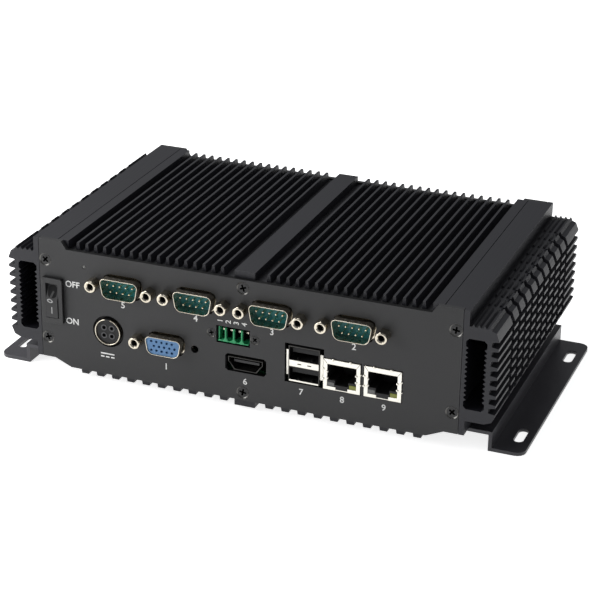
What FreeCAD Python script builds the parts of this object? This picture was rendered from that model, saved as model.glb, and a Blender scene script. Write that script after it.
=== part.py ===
import FreeCAD
import Part
import math
import os
from FreeCAD import Vector

# Fanless industrial computer: finned aluminium side extrusions with air ducts, finned top and bottom
# plates, front and rear panels, and a row of connectors on the front. Millimetres, X right along the
# front, Y back, Z up, worked out from the front panel's face at Y 0 with the desk at Z 0. Each finished
# node then moves forward, so that the origin is the middle of the footprint.

# ---- whole body ----
body_depth = 123.0
panel_thickness = 2.0
panel_half_width = 90.5
panel_corner_top = 61.5
panel_low_top = 58.2
panel_shoulder_inner = 78.0
panel_shoulder_outer = 80.3
panel_side_bottom = 8.5
panel_wedge_outer = 84.8
panel_wedge_inner = 77.5
panel_middle_bottom = 5.3
panel_screw_x = 87.8
panel_screw_high = 52.4
panel_screw_low = 17.5
middle_screw_high = 54.6
middle_screw_low = 8.8

# ---- side extrusions ----
wall_inner = 90.7
wall_outer = 93.0
band_inner = 82.6
band_bottom = 59.7
floor_flange_top = 10.7
lip_inner = 84.0
lip_bottom = 55.6
lip_top = 57.2
boss_radius = 3.1
boss_web = 1.0
thread_hole_radius = 1.3
duct_middle = 35.0
duct_half_height = 20.1
duct_hole_inner = 92.0
duct_hole_outer = 100.4
duct_hole_half_height = 15.0
duct_corner = 1.2
duct_tooth_pitch = 2.0
duct_tooth_height = 1.0
duct_tooth_root = 1.5
duct_tooth_count = 12
duct_outer = 102.1
core_radius = 2.5
fin_tip = 104.9
fin_pitch = 4.0
fin_root_width = 2.0
fin_tip_width = 1.2
fin_reach = 3
corner_radius = 4.2
corner_chords = 2
rib_start = 94.6
rib_pitch = 2.2
rib_count = 4
rib_height = 1.1
rib_root_width = 1.3
cut_pitch = 9.2
cut_width = 3.2
cut_count = 10

# ---- top heatsink ----
top_edge = 82.3
top_flange_inner = 77.8
top_base_bottom = 55.4
top_base_thickness = 1.8
top_fin_depth = 3.8
top_fin_first = 9.9
top_fin_pitch = 4.0
top_fin_count = 17
top_fin_root = 2.0
top_fin_tip = 1.0
top_bar_half = 4.4
top_fin_end_step = 0.8
tongue_edge = 86.5
tongue_top = 59.4
tongue_root = 83.6
foot_fin_end_step = 1.8
middle_boss_radius = 2.6

# ---- bottom heatsink ----
floor_top = 10.2
floor_edge = 82.2
ledge_edge = 86.0
ledge_lip = 8.0
floor_bottom = 5.2
foot_fin_bottom = 1.5
foot_fin_first = 10.0
foot_fin_pitch = 7.0
foot_fin_count = 10
foot_fin_root = 4.4
foot_fin_tip = 3.2
foot_bar_half = 4.5

# ---- mounting brackets ----
sheet = 1.5
bracket_inner = 87.0
bracket_web_outer = 102.5
bracket_edge = 115.5
bracket_front = 7.0
bracket_rear_inset = 8.0
bracket_corner = 4.0
slot_x = 110.4
slot_front = 22.0
slot_rear_inset = 15.0
slot_width = 4.0
slot_length = 12.0
bracket_screw_x = 89.6
bracket_screw_front = 20.0
bracket_screw_rear_inset = 13.0
bracket_screw_count = 3

# ---- screws ----
shank_radius = 1.25
clearance_radius = 1.45
shank_sides = 6
flat_head_radius = 2.75
flat_head_depth = 1.5
head_gap = 0.06
panel_screw_length = 8.0
pan_head_radius = 2.1
pan_head_height = 1.4

# ---- boards ----
board = 1.6
mainboard_bottom = 16.0
mainboard_half_width = 80.0
mainboard_front = 4.5
mainboard_rear_room = 11.0
board_hole_x = 75.0
board_hole_front = 12.0
board_hole_rear_inset = 8.0
standoff_flats = 5.0
pillar_bore = 4.0
serial_board_bottom = 37.8
serial_board_left_edge = 1.8
serial_board_right_edge = 1.6
serial_board_front = 2.9
serial_board_back = 45.0
serial_hole_inset = 3.0
serial_hole_front = 27.0
serial_hole_back = 41.0

# ---- nine-way serial ports ----
serial_z = 45.7
serial_first = -52.8
serial_spacings = (1.6, 2.0, 3.8)
serial_width = 17.4
serial_height = 8.6
video_x = -33.5
video_z = 24.15
video_width = 16.3
video_height = 7.9
shell_wall = 0.5
shell_corner = 2.2
shell_slope = 10.0
shell_front = -4.1
flange_rim = 1.155
flange_height = 12.0
flange_thickness = 0.8
shell_gap = 0.8
jack_spread = 12.495
jack_hole_radius = 1.75
jack_flats = 4.75
jack_face = -5.0
jack_bore_radius = 1.25
jack_bore_depth = 5.0
insert_half_width = 9.6
insert_back = 11.0
insert_gap = 0.05
serial_insert_face = 1.6
video_insert_face = -3.6
pin_pitch = 2.77
pin_row_offset = 1.42
pin_width = 0.9
pin_front = -3.0

# ---- power inlet ----
power_x = -59.8
power_z = 24.9
power_hole_radius = 7.0
power_ring_radius = 5.75
power_ring_wall = 0.6
power_ring_front = -1.0
power_body_width = 14.0
power_body_top = 32.0
power_body_back = 14.0
power_core_front = -0.3
power_contact_pitch = 3.2
power_contact_radius = 0.7
power_contact_depth = 6.0

# ---- four-way terminal header ----
terminal_x = -4.2
terminal_z = 33.0
terminal_half_width = 6.6
terminal_half_height = 3.0
terminal_wall = 0.6
terminal_front = 0.3
terminal_floor = 8.0
terminal_back = 12.0
terminal_pitch = 3.5
terminal_rib = 0.6
terminal_rib_front = 2.0
terminal_pin = 1.0
terminal_pin_rise = 1.2
terminal_pin_front = 1.6
terminal_ear_half = 12.3
terminal_ear_depth = 4.0
terminal_screw_spread = 9.45
terminal_head_radius = 2.0
terminal_head_depth = 1.0
terminal_shank_radius = 1.0
terminal_screw_length = 5.5

# ---- digital video port ----
digital_x = 1.3
digital_z = 21.4
digital_width = 15.0
digital_height = 5.6
digital_wall = 0.35
digital_front = -0.3
digital_back = 11.5
digital_foot = 2.6
digital_step = 0.9
digital_waist = -0.2
digital_gap_x = 1.4
digital_gap_z = 1.0
digital_tongue_width = 11.0
digital_tongue_height = 1.2
digital_tongue_front = 1.2
digital_block_front = 7.5

# ---- stacked data ports ----
data_x = 26.4
data_z = 26.0
data_width = 13.2
data_height = 15.4
data_wall = 0.4
data_front = -0.3
data_back = 17.0
data_cell_height = 5.7
data_cell_offset = 4.4
data_ear = 1.2
data_ear_height = 11.0
data_ear_front = 0.6
data_gap_x = 1.7
data_gap_z = 0.8
data_tongue_width = 11.0
data_tongue_height = 1.9
data_tongue_rise = 0.9
data_tongue_front = 1.5
data_block_front = 11.0

# ---- solder legs of the port shells ----
leg_front = 5.0
leg_depth = 4.0
leg_width = 2.0

# ---- network ports ----
network_first = 42.35
network_pitch = 17.0
network_width = 15.5
network_top = 30.8
network_wall = 0.4
network_front = -0.2
network_back = 21.0
network_gap = 0.3
network_cavity_width = 11.8
network_cavity_top = 28.9
network_cavity_floor = 21.9
network_latch_width = 5.6
network_latch_floor = 20.0
network_cavity_depth = 11.0
network_light_width = 3.0
network_light_height = 1.8
network_light_depth = 3.0
network_light_inset = 1.2
network_light_rise = 1.05

# ---- rocker switch ----
rocker_x = -84.45
rocker_z = 35.0
bezel_width = 9.4
bezel_height = 20.2
bezel_front = -1.8
bezel_corner = 0.6
rocker_pivot_y = 1.0
rocker_radius = 8.0
rocker_cavity_radius = 8.2
rocker_sides = 32
rocker_half_width = 2.65
rocker_cavity_half_width = 2.8
rocker_ridge = 3.2
rocker_tilt = 10.0
rocker_back = 4.5
pivot_radius = 1.0
pivot_hole_radius = 1.05
pivot_reach = 3.55
pivot_hole_reach = 3.65
switch_half_width = 4.35
switch_half_height = 8.9
switch_back = 16.0
switch_gap = 0.15
blade_width = 4.8
blade_thickness = 0.8
blade_length = 7.0
blade_offset = 4.5

# ---- small lamp above the rocker ----
lamp_x = -70.1
lamp_z = 51.9
lamp_radius = 0.8
lamp_gap = 0.05
lamp_flange_radius = 1.4
lamp_back = 5.0

# ---- pieces on the boards ----
processor_x = 30.0
processor_y = 60.0
processor_size = 31.0
processor_height = 1.6
pad_size = 26.0
pad_height = 0.5
block_size = 45.0
memory_x = -25.0
memory_y = 62.0
memory_socket_width = 73.0
memory_socket_depth = 6.5
memory_socket_height = 5.2
memory_width = 67.6
memory_depth = 30.0
memory_thickness = 1.2
memory_height = 3.4
memory_entry = 3.5
module_slot_gap = 0.02
storage_x = 56.0
storage_y = 66.0
storage_socket_width = 31.0
storage_socket_depth = 8.0
storage_socket_height = 4.0
storage_width = 29.8
storage_depth = 30.0
storage_thickness = 1.0
storage_height = 2.4
storage_entry = 3.0
cell_x = 26.0
cell_rear_inset = 22.0
cell_radius = 10.0
cell_height = 3.2
cell_holder_radius = 11.2
cell_holder_height = 4.4
cell_floor = 0.8
cell_gap = 0.05
link_x = -5.0
link_y = 40.0
link_width = 32.0
link_depth = 5.0

# ---- levels that follow from the values above ----
top_base_top = top_base_bottom + top_base_thickness
top_fin_top = top_base_top + top_fin_depth
network_centres = (network_first, network_first + network_pitch)
mainboard_top = mainboard_bottom + board
serial_board_top = serial_board_bottom + board
panel_back = panel_thickness
flange_width = 2 * (jack_spread + jack_hole_radius + flange_rim)
serial_centres = [serial_first + step * flange_width + sum(serial_spacings[:step])
                  for step in range(len(serial_spacings) + 1)]
serial_board_left = serial_centres[0] - flange_width / 2 - serial_board_left_edge
serial_board_right = serial_centres[-1] + flange_width / 2 + serial_board_right_edge
serial_hole_left = serial_board_left + serial_hole_inset
serial_hole_right = serial_board_right - serial_hole_inset
mainboard_back = body_depth - mainboard_rear_room
board_hole_back = mainboard_back - board_hole_rear_inset
cell_y = mainboard_back - cell_rear_inset
cut_first = (body_depth - (cut_count - 1) * cut_pitch) / 2
bracket_back = body_depth - bracket_rear_inset
slot_spacing = bracket_back - slot_rear_inset - slot_front
bracket_screw_pitch = (bracket_back - bracket_screw_rear_inset - bracket_screw_front) / (
    bracket_screw_count - 1)
rear_panel_front = body_depth - panel_thickness
footprint_middle = (body_depth + jack_face) / 2
duct_top = duct_middle + duct_half_height
duct_bottom = duct_middle - duct_half_height


# ---- shape helpers ----
def on_front(u, v, w):
    return Vector(u, w, v)


def on_side(u, v, w):
    return Vector(w, u, v)


def on_floor(u, v, w):
    return Vector(u, v, w)


# A closed outline in one plane, its corners rounded where a radius is given.
def outline(points, level, place, radius=0.0):
    if radius == 0.0:
        corners = [place(u, v, level) for u, v in points]
        return Part.makePolygon(corners + corners[:1])
    arcs = []
    for index, point in enumerate(points):
        here = Vector(*point, 0)
        back = Vector(*points[index - 1], 0).sub(here).normalize()
        ahead = Vector(*points[(index + 1) % len(points)], 0).sub(here).normalize()
        half = back.getAngle(ahead) / 2
        start = here + back * (radius / math.tan(half))
        finish = here + ahead * (radius / math.tan(half))
        inward = (back + ahead).normalize()
        middle = here + inward * (radius / math.sin(half) - radius)
        arcs.append([place(spot.x, spot.y, level) for spot in (start, middle, finish)])
    edges = []
    for index, (start, middle, finish) in enumerate(arcs):
        previous = arcs[index - 1][2]
        if previous.distanceToPoint(start) > 1e-6:
            edges.append(Part.makeLine(previous, start))
        edges.append(Part.Arc(start, middle, finish).toShape())
    return Part.Wire(edges)


def prism(points, start, end, place=on_front, radius=0.0):
    face = Part.Face(outline(points, start, place, radius))
    return face.extrude(place(0, 0, end - start))


def rectangle(centre_u, centre_v, width, height):
    u, v = width / 2, height / 2
    return [(centre_u - u, centre_v - v), (centre_u + u, centre_v - v),
            (centre_u + u, centre_v + v), (centre_u - u, centre_v + v)]


def block(x0, x1, y0, y1, z0, z1):
    return Part.makeBox(x1 - x0, y1 - y0, z1 - z0, Vector(x0, y0, z0))


def rod(x, z, radius, y0, y1):
    return Part.makeCylinder(radius, y1 - y0, Vector(x, y0, z), Vector(0, 1, 0))


def post(x, y, radius, z0, z1):
    return Part.makeCylinder(radius, z1 - z0, Vector(x, y, z0), Vector(0, 0, 1))


# A small repeated round thing is a prism with a few sides, flats up, so that its meshes stay light.
def ring_points(u, v, radius, sides):
    turn = 2 * math.pi / sides
    return [(u + radius * math.cos(turn * (step + 0.5)), v + radius * math.sin(turn * (step + 0.5)))
            for step in range(sides)]


def faceted_rod(x, z, radius, y0, y1, sides=12):
    return prism(ring_points(x, z, radius, sides), y0, y1)


def faceted_post(x, y, radius, z0, z1, sides=12):
    return prism(ring_points(x, y, radius, sides), z0, z1, on_floor)


def hexagon(u, v, flats):
    return ring_points(u, v, flats / math.sqrt(3), 6)


# Corners cut by a few chords of an arc, for outlines that repeat.
def chorded(points, radius, chords):
    result = []
    for index, point in enumerate(points):
        here = Vector(*point, 0)
        back = Vector(*points[index - 1], 0).sub(here).normalize()
        ahead = Vector(*points[(index + 1) % len(points)], 0).sub(here).normalize()
        half = back.getAngle(ahead) / 2
        centre = here + (back + ahead).normalize() * (radius / math.sin(half))
        first = here + back * (radius / math.tan(half)) - centre
        last = here + ahead * (radius / math.tan(half)) - centre
        sweep = first.getAngle(last)
        for step in range(chords + 1):
            share = step / chords
            spoke = (first * math.sin((1 - share) * sweep) + last * math.sin(share * sweep))
            spot = centre + spoke * (1 / math.sin(sweep))
            result.append((spot.x, spot.y))
    return result


def joined(shapes):
    return shapes[0].multiFuse(shapes[1:]).removeSplitter()


def mirrored(shape):
    return shape.mirror(Vector(0, 0, 0), Vector(1, 0, 0))


def both_sides(shape):
    return [shape, mirrored(shape)]


# ---- side extrusion: duct, corner-rounded fins and cross-cuts ----
def fin_row_profile():
    points = [(duct_outer - 0.4, duct_middle - fin_reach * fin_pitch - fin_pitch)]
    for step in range(-fin_reach, fin_reach + 1):
        z = duct_middle + step * fin_pitch
        points += [(duct_outer, z - fin_root_width / 2), (fin_tip, z - fin_tip_width / 2),
                   (fin_tip, z + fin_tip_width / 2), (duct_outer, z + fin_root_width / 2)]
    last = duct_middle + (fin_reach + 1) * fin_pitch
    return points + [(duct_outer - 0.4, last)]


# The rounded piece closing the fin row at the duct's upper outer corner.
def corner_profile():
    arc_x = fin_tip - corner_radius
    arc_z = duct_top - corner_radius
    first = duct_middle + (fin_reach + 1) * fin_pitch
    turns = [math.radians(90 * step / corner_chords) for step in range(corner_chords + 1)]
    arc = [(arc_x + corner_radius * math.cos(turn), arc_z + corner_radius * math.sin(turn))
           for turn in turns]
    return [(arc_x, first - fin_root_width / 2), (duct_outer, first - fin_root_width / 2),
            (fin_tip, first - fin_tip_width / 2)] + arc


def duct_hole():
    half = duct_hole_half_height
    inner, outer, c = duct_hole_inner, duct_hole_outer, duct_corner
    top, bottom = duct_middle + half, duct_middle - half
    points = [(inner + c, bottom), (outer - c, bottom), (outer, bottom + c)]
    first = duct_middle - (duct_tooth_count - 1) * duct_tooth_pitch / 2
    levels = [first + step * duct_tooth_pitch for step in range(duct_tooth_count)]

    def teeth(wall, tip, order):
        sign = 1 if order[-1] > order[0] else -1
        row = []
        for z in order:
            row += [(wall, z - sign * duct_tooth_root / 2), (tip, z),
                    (wall, z + sign * duct_tooth_root / 2)]
        return row

    points += teeth(outer, outer - duct_tooth_height, levels)
    points += [(outer, top - c), (outer - c, top), (inner + c, top), (inner, top - c)]
    points += teeth(inner, inner + duct_tooth_height, levels[::-1])
    points += [(inner, bottom + c)]
    return prism(points, -1, body_depth + 1)


def side_extrusion():
    back = body_depth
    inside_front, inside_back = panel_back, rear_panel_front
    shapes = [block(wall_inner, wall_outer, 0, back, panel_side_bottom, panel_corner_top)]
    for inner, bottom, top in ((band_inner, band_bottom, panel_corner_top),
                               (band_inner, panel_side_bottom, floor_flange_top),
                               (lip_inner, lip_bottom, lip_top)):
        shapes.append(block(inner, wall_inner, inside_front, inside_back, bottom, top))
    for z in (panel_screw_high, panel_screw_low):
        shapes.append(faceted_rod(panel_screw_x, z, boss_radius, inside_front, inside_back, 10))
        shapes.append(block(panel_screw_x, wall_inner, inside_front, inside_back,
                            z - boss_web, z + boss_web))
    shapes.append(prism(rectangle((wall_inner + duct_outer) / 2, duct_middle,
                                  duct_outer - wall_inner, 2 * (duct_half_height - corner_radius)),
                        0, back))
    inset = fin_tip - corner_radius
    shapes.append(prism(rectangle((wall_inner + inset) / 2, duct_middle,
                                  inset - wall_inner, 2 * duct_half_height), 0, back))
    shapes.append(prism(fin_row_profile(), 0, back))
    corner = prism(corner_profile(), 0, back)
    shapes += [corner, corner.mirror(Vector(0, 0, duct_middle), Vector(0, 0, 1))]
    for step in range(rib_count):
        x = rib_start + step * rib_pitch
        half = rib_root_width / 2
        shapes.append(prism([(x - half, duct_top - rib_height), (x + half, duct_top - rib_height),
                             (x + half, duct_top), (x, duct_top + rib_height),
                             (x - half, duct_top)], 0, back))
    solid = joined(shapes)
    core = prism(chorded(rectangle((wall_inner + duct_outer) / 2, duct_middle,
                                   duct_outer - wall_inner, 2 * duct_half_height),
                         core_radius, 1), -1, back + 1)
    slab_bottom, slab_top = duct_bottom - 2 * rib_height, duct_top + 2 * rib_height
    slots = []
    for step in range(cut_count):
        y = cut_first + step * cut_pitch
        slots.append(block(wall_outer, fin_tip + 1, y - cut_width / 2, y + cut_width / 2,
                           slab_bottom, slab_top).cut(core))
    cutters = slots + [duct_hole()]
    for z in (panel_screw_high, panel_screw_low):
        cutters.append(faceted_rod(panel_screw_x, z, thread_hole_radius, -1, back + 1, 6))
    for step in range(bracket_screw_count):
        y = bracket_screw_front + step * bracket_screw_pitch
        cutters.append(faceted_post(bracket_screw_x, y, thread_hole_radius,
                                    0, floor_flange_top + 1, 6))
    return solid.cut(Part.makeCompound(cutters)).removeSplitter()


# ---- finned top and bottom plates ----
def comb(level, tip_level, first, pitch, count, root, tip, bar_half, anchor):
    points = [(bar_half, level)]
    for step in range(count):
        x = first + step * pitch
        points += [(x - root / 2, level), (x - tip / 2, tip_level),
                   (x + tip / 2, tip_level), (x + root / 2, level)]
    points += [(points[-1][0], anchor), (bar_half, anchor)]
    return points


def top_plate():
    start, end = panel_back, rear_panel_front
    edge = [(0, top_base_bottom), (tongue_root, top_base_bottom), (tongue_root, lip_top),
            (tongue_edge, lip_top), (tongue_edge, tongue_top), (top_edge, tongue_top),
            (top_edge, panel_corner_top), (top_flange_inner, panel_corner_top),
            (top_flange_inner, top_base_top), (top_bar_half, top_base_top),
            (top_bar_half, top_fin_top), (0, top_fin_top)]
    fins = comb(top_base_top, top_fin_top, top_fin_first, top_fin_pitch, top_fin_count,
                top_fin_root, top_fin_tip, top_bar_half, top_base_top - 1)
    halves = both_sides(prism(edge, start, end))
    halves += both_sides(prism(fins, start + top_fin_end_step, end - top_fin_end_step))
    boss = faceted_rod(0, middle_screw_high, middle_boss_radius, start, end, 10)
    hole = faceted_rod(0, middle_screw_high, thread_hole_radius, start - 1, end + 1, 6)
    return joined(halves + [boss]).cut(hole)


def bottom_plate():
    start, end = panel_back, rear_panel_front
    edge = [(0, floor_bottom), (panel_wedge_inner, floor_bottom), (ledge_edge, ledge_lip),
            (ledge_edge, panel_side_bottom), (floor_edge, panel_side_bottom),
            (floor_edge, floor_top), (0, floor_top)]
    bar = rectangle(foot_bar_half / 2, (foot_fin_bottom + floor_top) / 2,
                    foot_bar_half, floor_top - foot_fin_bottom)
    fins = comb(floor_bottom, foot_fin_bottom, foot_fin_first, foot_fin_pitch, foot_fin_count,
                foot_fin_root, foot_fin_tip, foot_bar_half, floor_bottom + 1)
    halves = both_sides(prism(edge, start, end)) + both_sides(prism(bar, start, end))
    halves += both_sides(prism(fins, start + foot_fin_end_step, end - foot_fin_end_step))
    boss = faceted_rod(0, middle_screw_low, middle_boss_radius, start, end, 10)
    hole = faceted_rod(0, middle_screw_low, thread_hole_radius, start - 1, end + 1, 6)
    return joined(halves + [boss]).cut(hole)


# ---- panels ----
panel_screw_spots = [(side * panel_screw_x, z) for side in (-1, 1)
                     for z in (panel_screw_high, panel_screw_low)]
panel_screw_spots += [(0, middle_screw_high), (0, middle_screw_low)]


def panel_blank(start):
    right = [(panel_shoulder_inner, panel_low_top), (panel_shoulder_outer, panel_corner_top),
             (panel_half_width, panel_corner_top), (panel_half_width, panel_side_bottom),
             (panel_wedge_outer, panel_side_bottom), (panel_wedge_inner, panel_middle_bottom)]
    points = right + [(-x, z) for x, z in right[::-1]]
    return prism(points, start, start + panel_thickness)


# A flush screw: its tapering head fills the seat cut for it, and its shank runs on inward.
def head_taper(x, z, wide, narrow, face, depth):
    rings = [[on_front(u, v, level) for u, v in ring_points(x, z, radius, 12)]
             for radius, level in ((wide, face), (narrow, face + depth))]
    flats = list(rings)
    for index in range(len(rings[0])):
        flats.append([rings[0][index - 1], rings[0][index], rings[1][index], rings[1][index - 1]])
    faces = [Part.Face(Part.makePolygon(points + points[:1])) for points in flats]
    solid = Part.makeSolid(Part.makeShell(faces))
    if solid.Volume < 0:
        solid.reverse()
    return solid


def screw_seat(x, z, head, shank, depth, face, inward):
    taper = head_taper(x, z, head, shank, face, inward * depth)
    levels = sorted([face + inward * depth, face + inward * (panel_thickness + 1)])
    return taper.fuse(faceted_rod(x, z, shank, *levels, shank_sides))


def flat_screw(x, z, head, shank, depth, length, face, inward):
    taper = head_taper(x, z, head, shank, face, inward * depth)
    levels = sorted([face + inward * depth, face + inward * length])
    return taper.fuse(faceted_rod(x, z, shank, *levels, shank_sides)).removeSplitter()


def panel_screws(face, inward):
    return [flat_screw(x, z, flat_head_radius, shank_radius, flat_head_depth,
                       panel_screw_length, face, inward) for x, z in panel_screw_spots]


def screw_holes(face, inward):
    return [screw_seat(x, z, flat_head_radius + head_gap, clearance_radius,
                        flat_head_depth, face, inward) for x, z in panel_screw_spots]


# The D-shaped section of the serial and video ports: wide edge up, sides sloping in.
def d_points(x, z, width, height, grow=0.0):
    half, rise = width / 2 + grow, height / 2 + grow
    lean = 2 * rise * math.tan(math.radians(shell_slope))
    return [(x - half + lean, z - rise), (x + half - lean, z - rise),
            (x + half, z + rise), (x - half, z + rise)]


def front_cutouts():
    start, end = -1, panel_thickness + 1
    cuts = []
    ports = [(x, serial_z, serial_width, serial_height) for x in serial_centres]
    for x, z, width, height in ports + [(video_x, video_z, video_width, video_height)]:
        cuts.append(prism(chorded(d_points(x, z, width, height, shell_gap),
                                  shell_corner + shell_gap, 2), start, end))
        cuts += [faceted_rod(x + side * jack_spread, z, jack_hole_radius, start, end, 8)
                 for side in (-1, 1)]
    cuts.append(faceted_rod(power_x, power_z, power_hole_radius, start, end, 24))
    cuts.append(faceted_rod(lamp_x, lamp_z, lamp_radius + lamp_gap, start, end, 8))
    grow = terminal_wall + 0.1
    cuts.append(prism(rectangle(terminal_x, terminal_z, 2 * (terminal_half_width + grow),
                                2 * (terminal_half_height + grow)), start, end))
    cuts += [screw_seat(terminal_x + side * terminal_screw_spread, terminal_z,
                         terminal_head_radius + head_gap, terminal_shank_radius + 0.1,
                         terminal_head_depth, 0, 1) for side in (-1, 1)]
    cuts.append(prism(chorded(rectangle(digital_x, digital_z, digital_width + 2 * digital_gap_x,
                                        digital_height + 2 * digital_gap_z), 1.0, 1), start, end))
    cuts.append(prism(rectangle(data_x, data_z, data_width + 2 * data_gap_x,
                                data_height + 2 * data_gap_z), start, end))
    for x in network_centres:
        cuts.append(prism(rectangle(x, (mainboard_top + network_top) / 2,
                                    network_width + 2 * network_gap,
                                    network_top - mainboard_top + 2 * network_gap), start, end))
    cuts.append(prism(rectangle(rocker_x, rocker_z, 2 * (switch_half_width + switch_gap),
                                2 * (switch_half_height + switch_gap)), start, end))
    return cuts


def front_panel():
    return panel_blank(0).cut(Part.makeCompound(front_cutouts())).cut(
        Part.makeCompound(screw_holes(0, 1)))


def rear_panel():
    return panel_blank(rear_panel_front).cut(Part.makeCompound(screw_holes(body_depth, -1)))


# ---- folded mounting bracket with two slots in its foot ----
def mounting_bracket():
    top, fold = panel_side_bottom, bracket_web_outer - sheet
    profile = [(bracket_inner, top), (bracket_inner, top - sheet), (fold, top - sheet), (fold, 0),
               (bracket_edge, 0), (bracket_edge, sheet), (bracket_web_outer, sheet),
               (bracket_web_outer, top)]
    middle = (bracket_front + bracket_back) / 2
    reach = bracket_edge - bracket_inner + 2 * bracket_corner
    plan = chorded(rectangle(bracket_edge - reach / 2, middle, reach,
                             bracket_back - bracket_front), bracket_corner, 4)
    solid = prism(profile, bracket_front, bracket_back).common(
        prism(plan, -1, panel_side_bottom + 1, on_floor))
    cutters = []
    for y in (slot_front, slot_front + slot_spacing):
        cutters.append(prism(rectangle(slot_x, y, slot_width, slot_length), -1, sheet + 1,
                             on_floor, slot_width / 2))
    for step in range(bracket_screw_count):
        y = bracket_screw_front + step * bracket_screw_pitch
        cutters.append(faceted_post(bracket_screw_x, y, clearance_radius,
                                    top - 2 * sheet, top + 1, 6))
    return solid.cut(Part.makeCompound(cutters))


def bracket_screws():
    seat = panel_side_bottom - sheet
    screws = []
    for step in range(bracket_screw_count):
        y = bracket_screw_front + step * bracket_screw_pitch
        head = faceted_post(bracket_screw_x, y, pan_head_radius, seat - pan_head_height, seat, 8)
        stem = faceted_post(bracket_screw_x, y, shank_radius, seat - 1, floor_flange_top, 6)
        screws += both_sides(head.fuse(stem).removeSplitter())
    return screws


# ---- boards, their pillars and screws ----
mainboard_spots = [(side * board_hole_x, y) for side in (-1, 1)
                   for y in (board_hole_front, board_hole_back)]
serial_board_spots = [(x, y) for x in (serial_hole_left, serial_hole_right)
                      for y in (serial_hole_front, serial_hole_back)]


def circuit_board(x0, x1, y0, y1, bottom, spots):
    holes = [faceted_post(x, y, clearance_radius, bottom - 1, bottom + board + 1, 6)
             for x, y in spots]
    return block(x0, x1, y0, y1, bottom, bottom + board).cut(Part.makeCompound(holes))


def pillars(spots, bottom, top):
    solids = []
    for x, y in spots:
        body = prism(hexagon(x, y, standoff_flats), bottom, top, on_floor)
        solids.append(body.cut(faceted_post(x, y, thread_hole_radius, top - pillar_bore,
                                            top + 1, 6)))
    return solids


def board_screws(spots, seat):
    solids = []
    for x, y in spots:
        head = faceted_post(x, y, pan_head_radius, seat, seat + pan_head_height, 8)
        stem = faceted_post(x, y, shank_radius, seat - board - 3, seat + 1, 6)
        solids.append(head.fuse(stem).removeSplitter())
    return solids


# ---- D-shaped port: pressed shell with its flange, and the moulded insert inside it ----
def port_shell(x, z, width, height):
    tube = prism(chorded(d_points(x, z, width, height), shell_corner, 2),
                 shell_front, panel_back + flange_thickness)
    plate = prism(rectangle(x, z, flange_width, flange_height),
                  panel_back, panel_back + flange_thickness)
    bore = prism(chorded(d_points(x, z, width, height, -shell_wall), shell_corner - shell_wall, 2),
                 shell_front - 1, panel_back + flange_thickness + 1)
    holes = [faceted_rod(x + side * jack_spread, z, jack_hole_radius,
                         panel_back - 1, panel_back + 2, 8) for side in (-1, 1)]
    return tube.fuse(plate).cut(Part.makeCompound([bore] + holes)).removeSplitter()


def port_insert(x, z, width, height, face, seat):
    back = panel_back + flange_thickness
    nose = prism(chorded(d_points(x, z, width, height, -shell_wall - insert_gap),
                         shell_corner - shell_wall, 2), face, back + 1)
    body = block(x - insert_half_width, x + insert_half_width, back, insert_back,
                 seat, z + flange_height / 2)
    return nose.fuse(body).removeSplitter()


def pin_rows(x, z):
    upper = [(x + (step - 2) * pin_pitch, z + pin_row_offset) for step in range(5)]
    lower = [(x + (step - 1.5) * pin_pitch, z - pin_row_offset) for step in range(4)]
    return upper + lower


def serial_pins():
    return [prism(rectangle(x, z, pin_width, pin_width), pin_front, serial_insert_face)
            for centre in serial_centres for x, z in pin_rows(centre, serial_z)]


def jackscrew(x, z):
    head = prism(hexagon(x, z, jack_flats), jack_face, 0)
    stem = faceted_rod(x, z, shank_radius + 0.2, -1, insert_back / 2, 6)
    bore = rod(x, z, jack_bore_radius, jack_face - 1, jack_face + jack_bore_depth)
    return head.fuse(stem).removeSplitter().cut(bore)


# ---- power inlet ----
def power_ring():
    ring = faceted_rod(power_x, power_z, power_ring_radius, power_ring_front, panel_back, 24)
    return ring.cut(faceted_rod(power_x, power_z, power_ring_radius - power_ring_wall,
                                power_ring_front - 1, panel_back + 1, 24))


def power_body():
    half = power_body_width / 2
    body = block(power_x - half, power_x + half, panel_back, power_body_back,
                 mainboard_top, power_body_top)
    core = faceted_rod(power_x, power_z, power_ring_radius - power_ring_wall - insert_gap,
                       power_core_front, panel_back + 1, 24)
    reach = power_contact_pitch / 2
    holes = [faceted_rod(power_x + dx * reach, power_z + dz * reach, power_contact_radius,
                         power_core_front - 1, power_core_front + power_contact_depth, 8)
             for dx in (-1, 1) for dz in (-1, 1)]
    return body.fuse(core).removeSplitter().cut(Part.makeCompound(holes))


# ---- terminal header hanging under the serial board ----
def terminal_header():
    half_width, half_height = terminal_half_width, terminal_half_height
    left, right = terminal_x - half_width, terminal_x + half_width
    low, high = terminal_z - half_height, terminal_z + half_height
    shapes = [block(left - terminal_wall, right + terminal_wall, terminal_front, terminal_back,
                    low - terminal_wall, high + terminal_wall),
              block(left, right, panel_back, terminal_back, low, serial_board_bottom),
              block(terminal_x - terminal_ear_half, terminal_x + terminal_ear_half, panel_back,
                    panel_back + terminal_ear_depth, low, high)]
    body = joined(shapes).cut(block(left, right, 0, terminal_floor, low, high))
    ribs = [block(terminal_x + (step - 1) * terminal_pitch - terminal_rib / 2,
                  terminal_x + (step - 1) * terminal_pitch + terminal_rib / 2,
                  terminal_rib_front, terminal_floor + 1, low - 0.1, high + 0.1)
            for step in range(3)]
    holes = [faceted_rod(terminal_x + side * terminal_screw_spread, terminal_z,
                         terminal_shank_radius + 0.05, 0, terminal_back, 6) for side in (-1, 1)]
    return joined([body] + ribs).cut(Part.makeCompound(holes))


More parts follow.
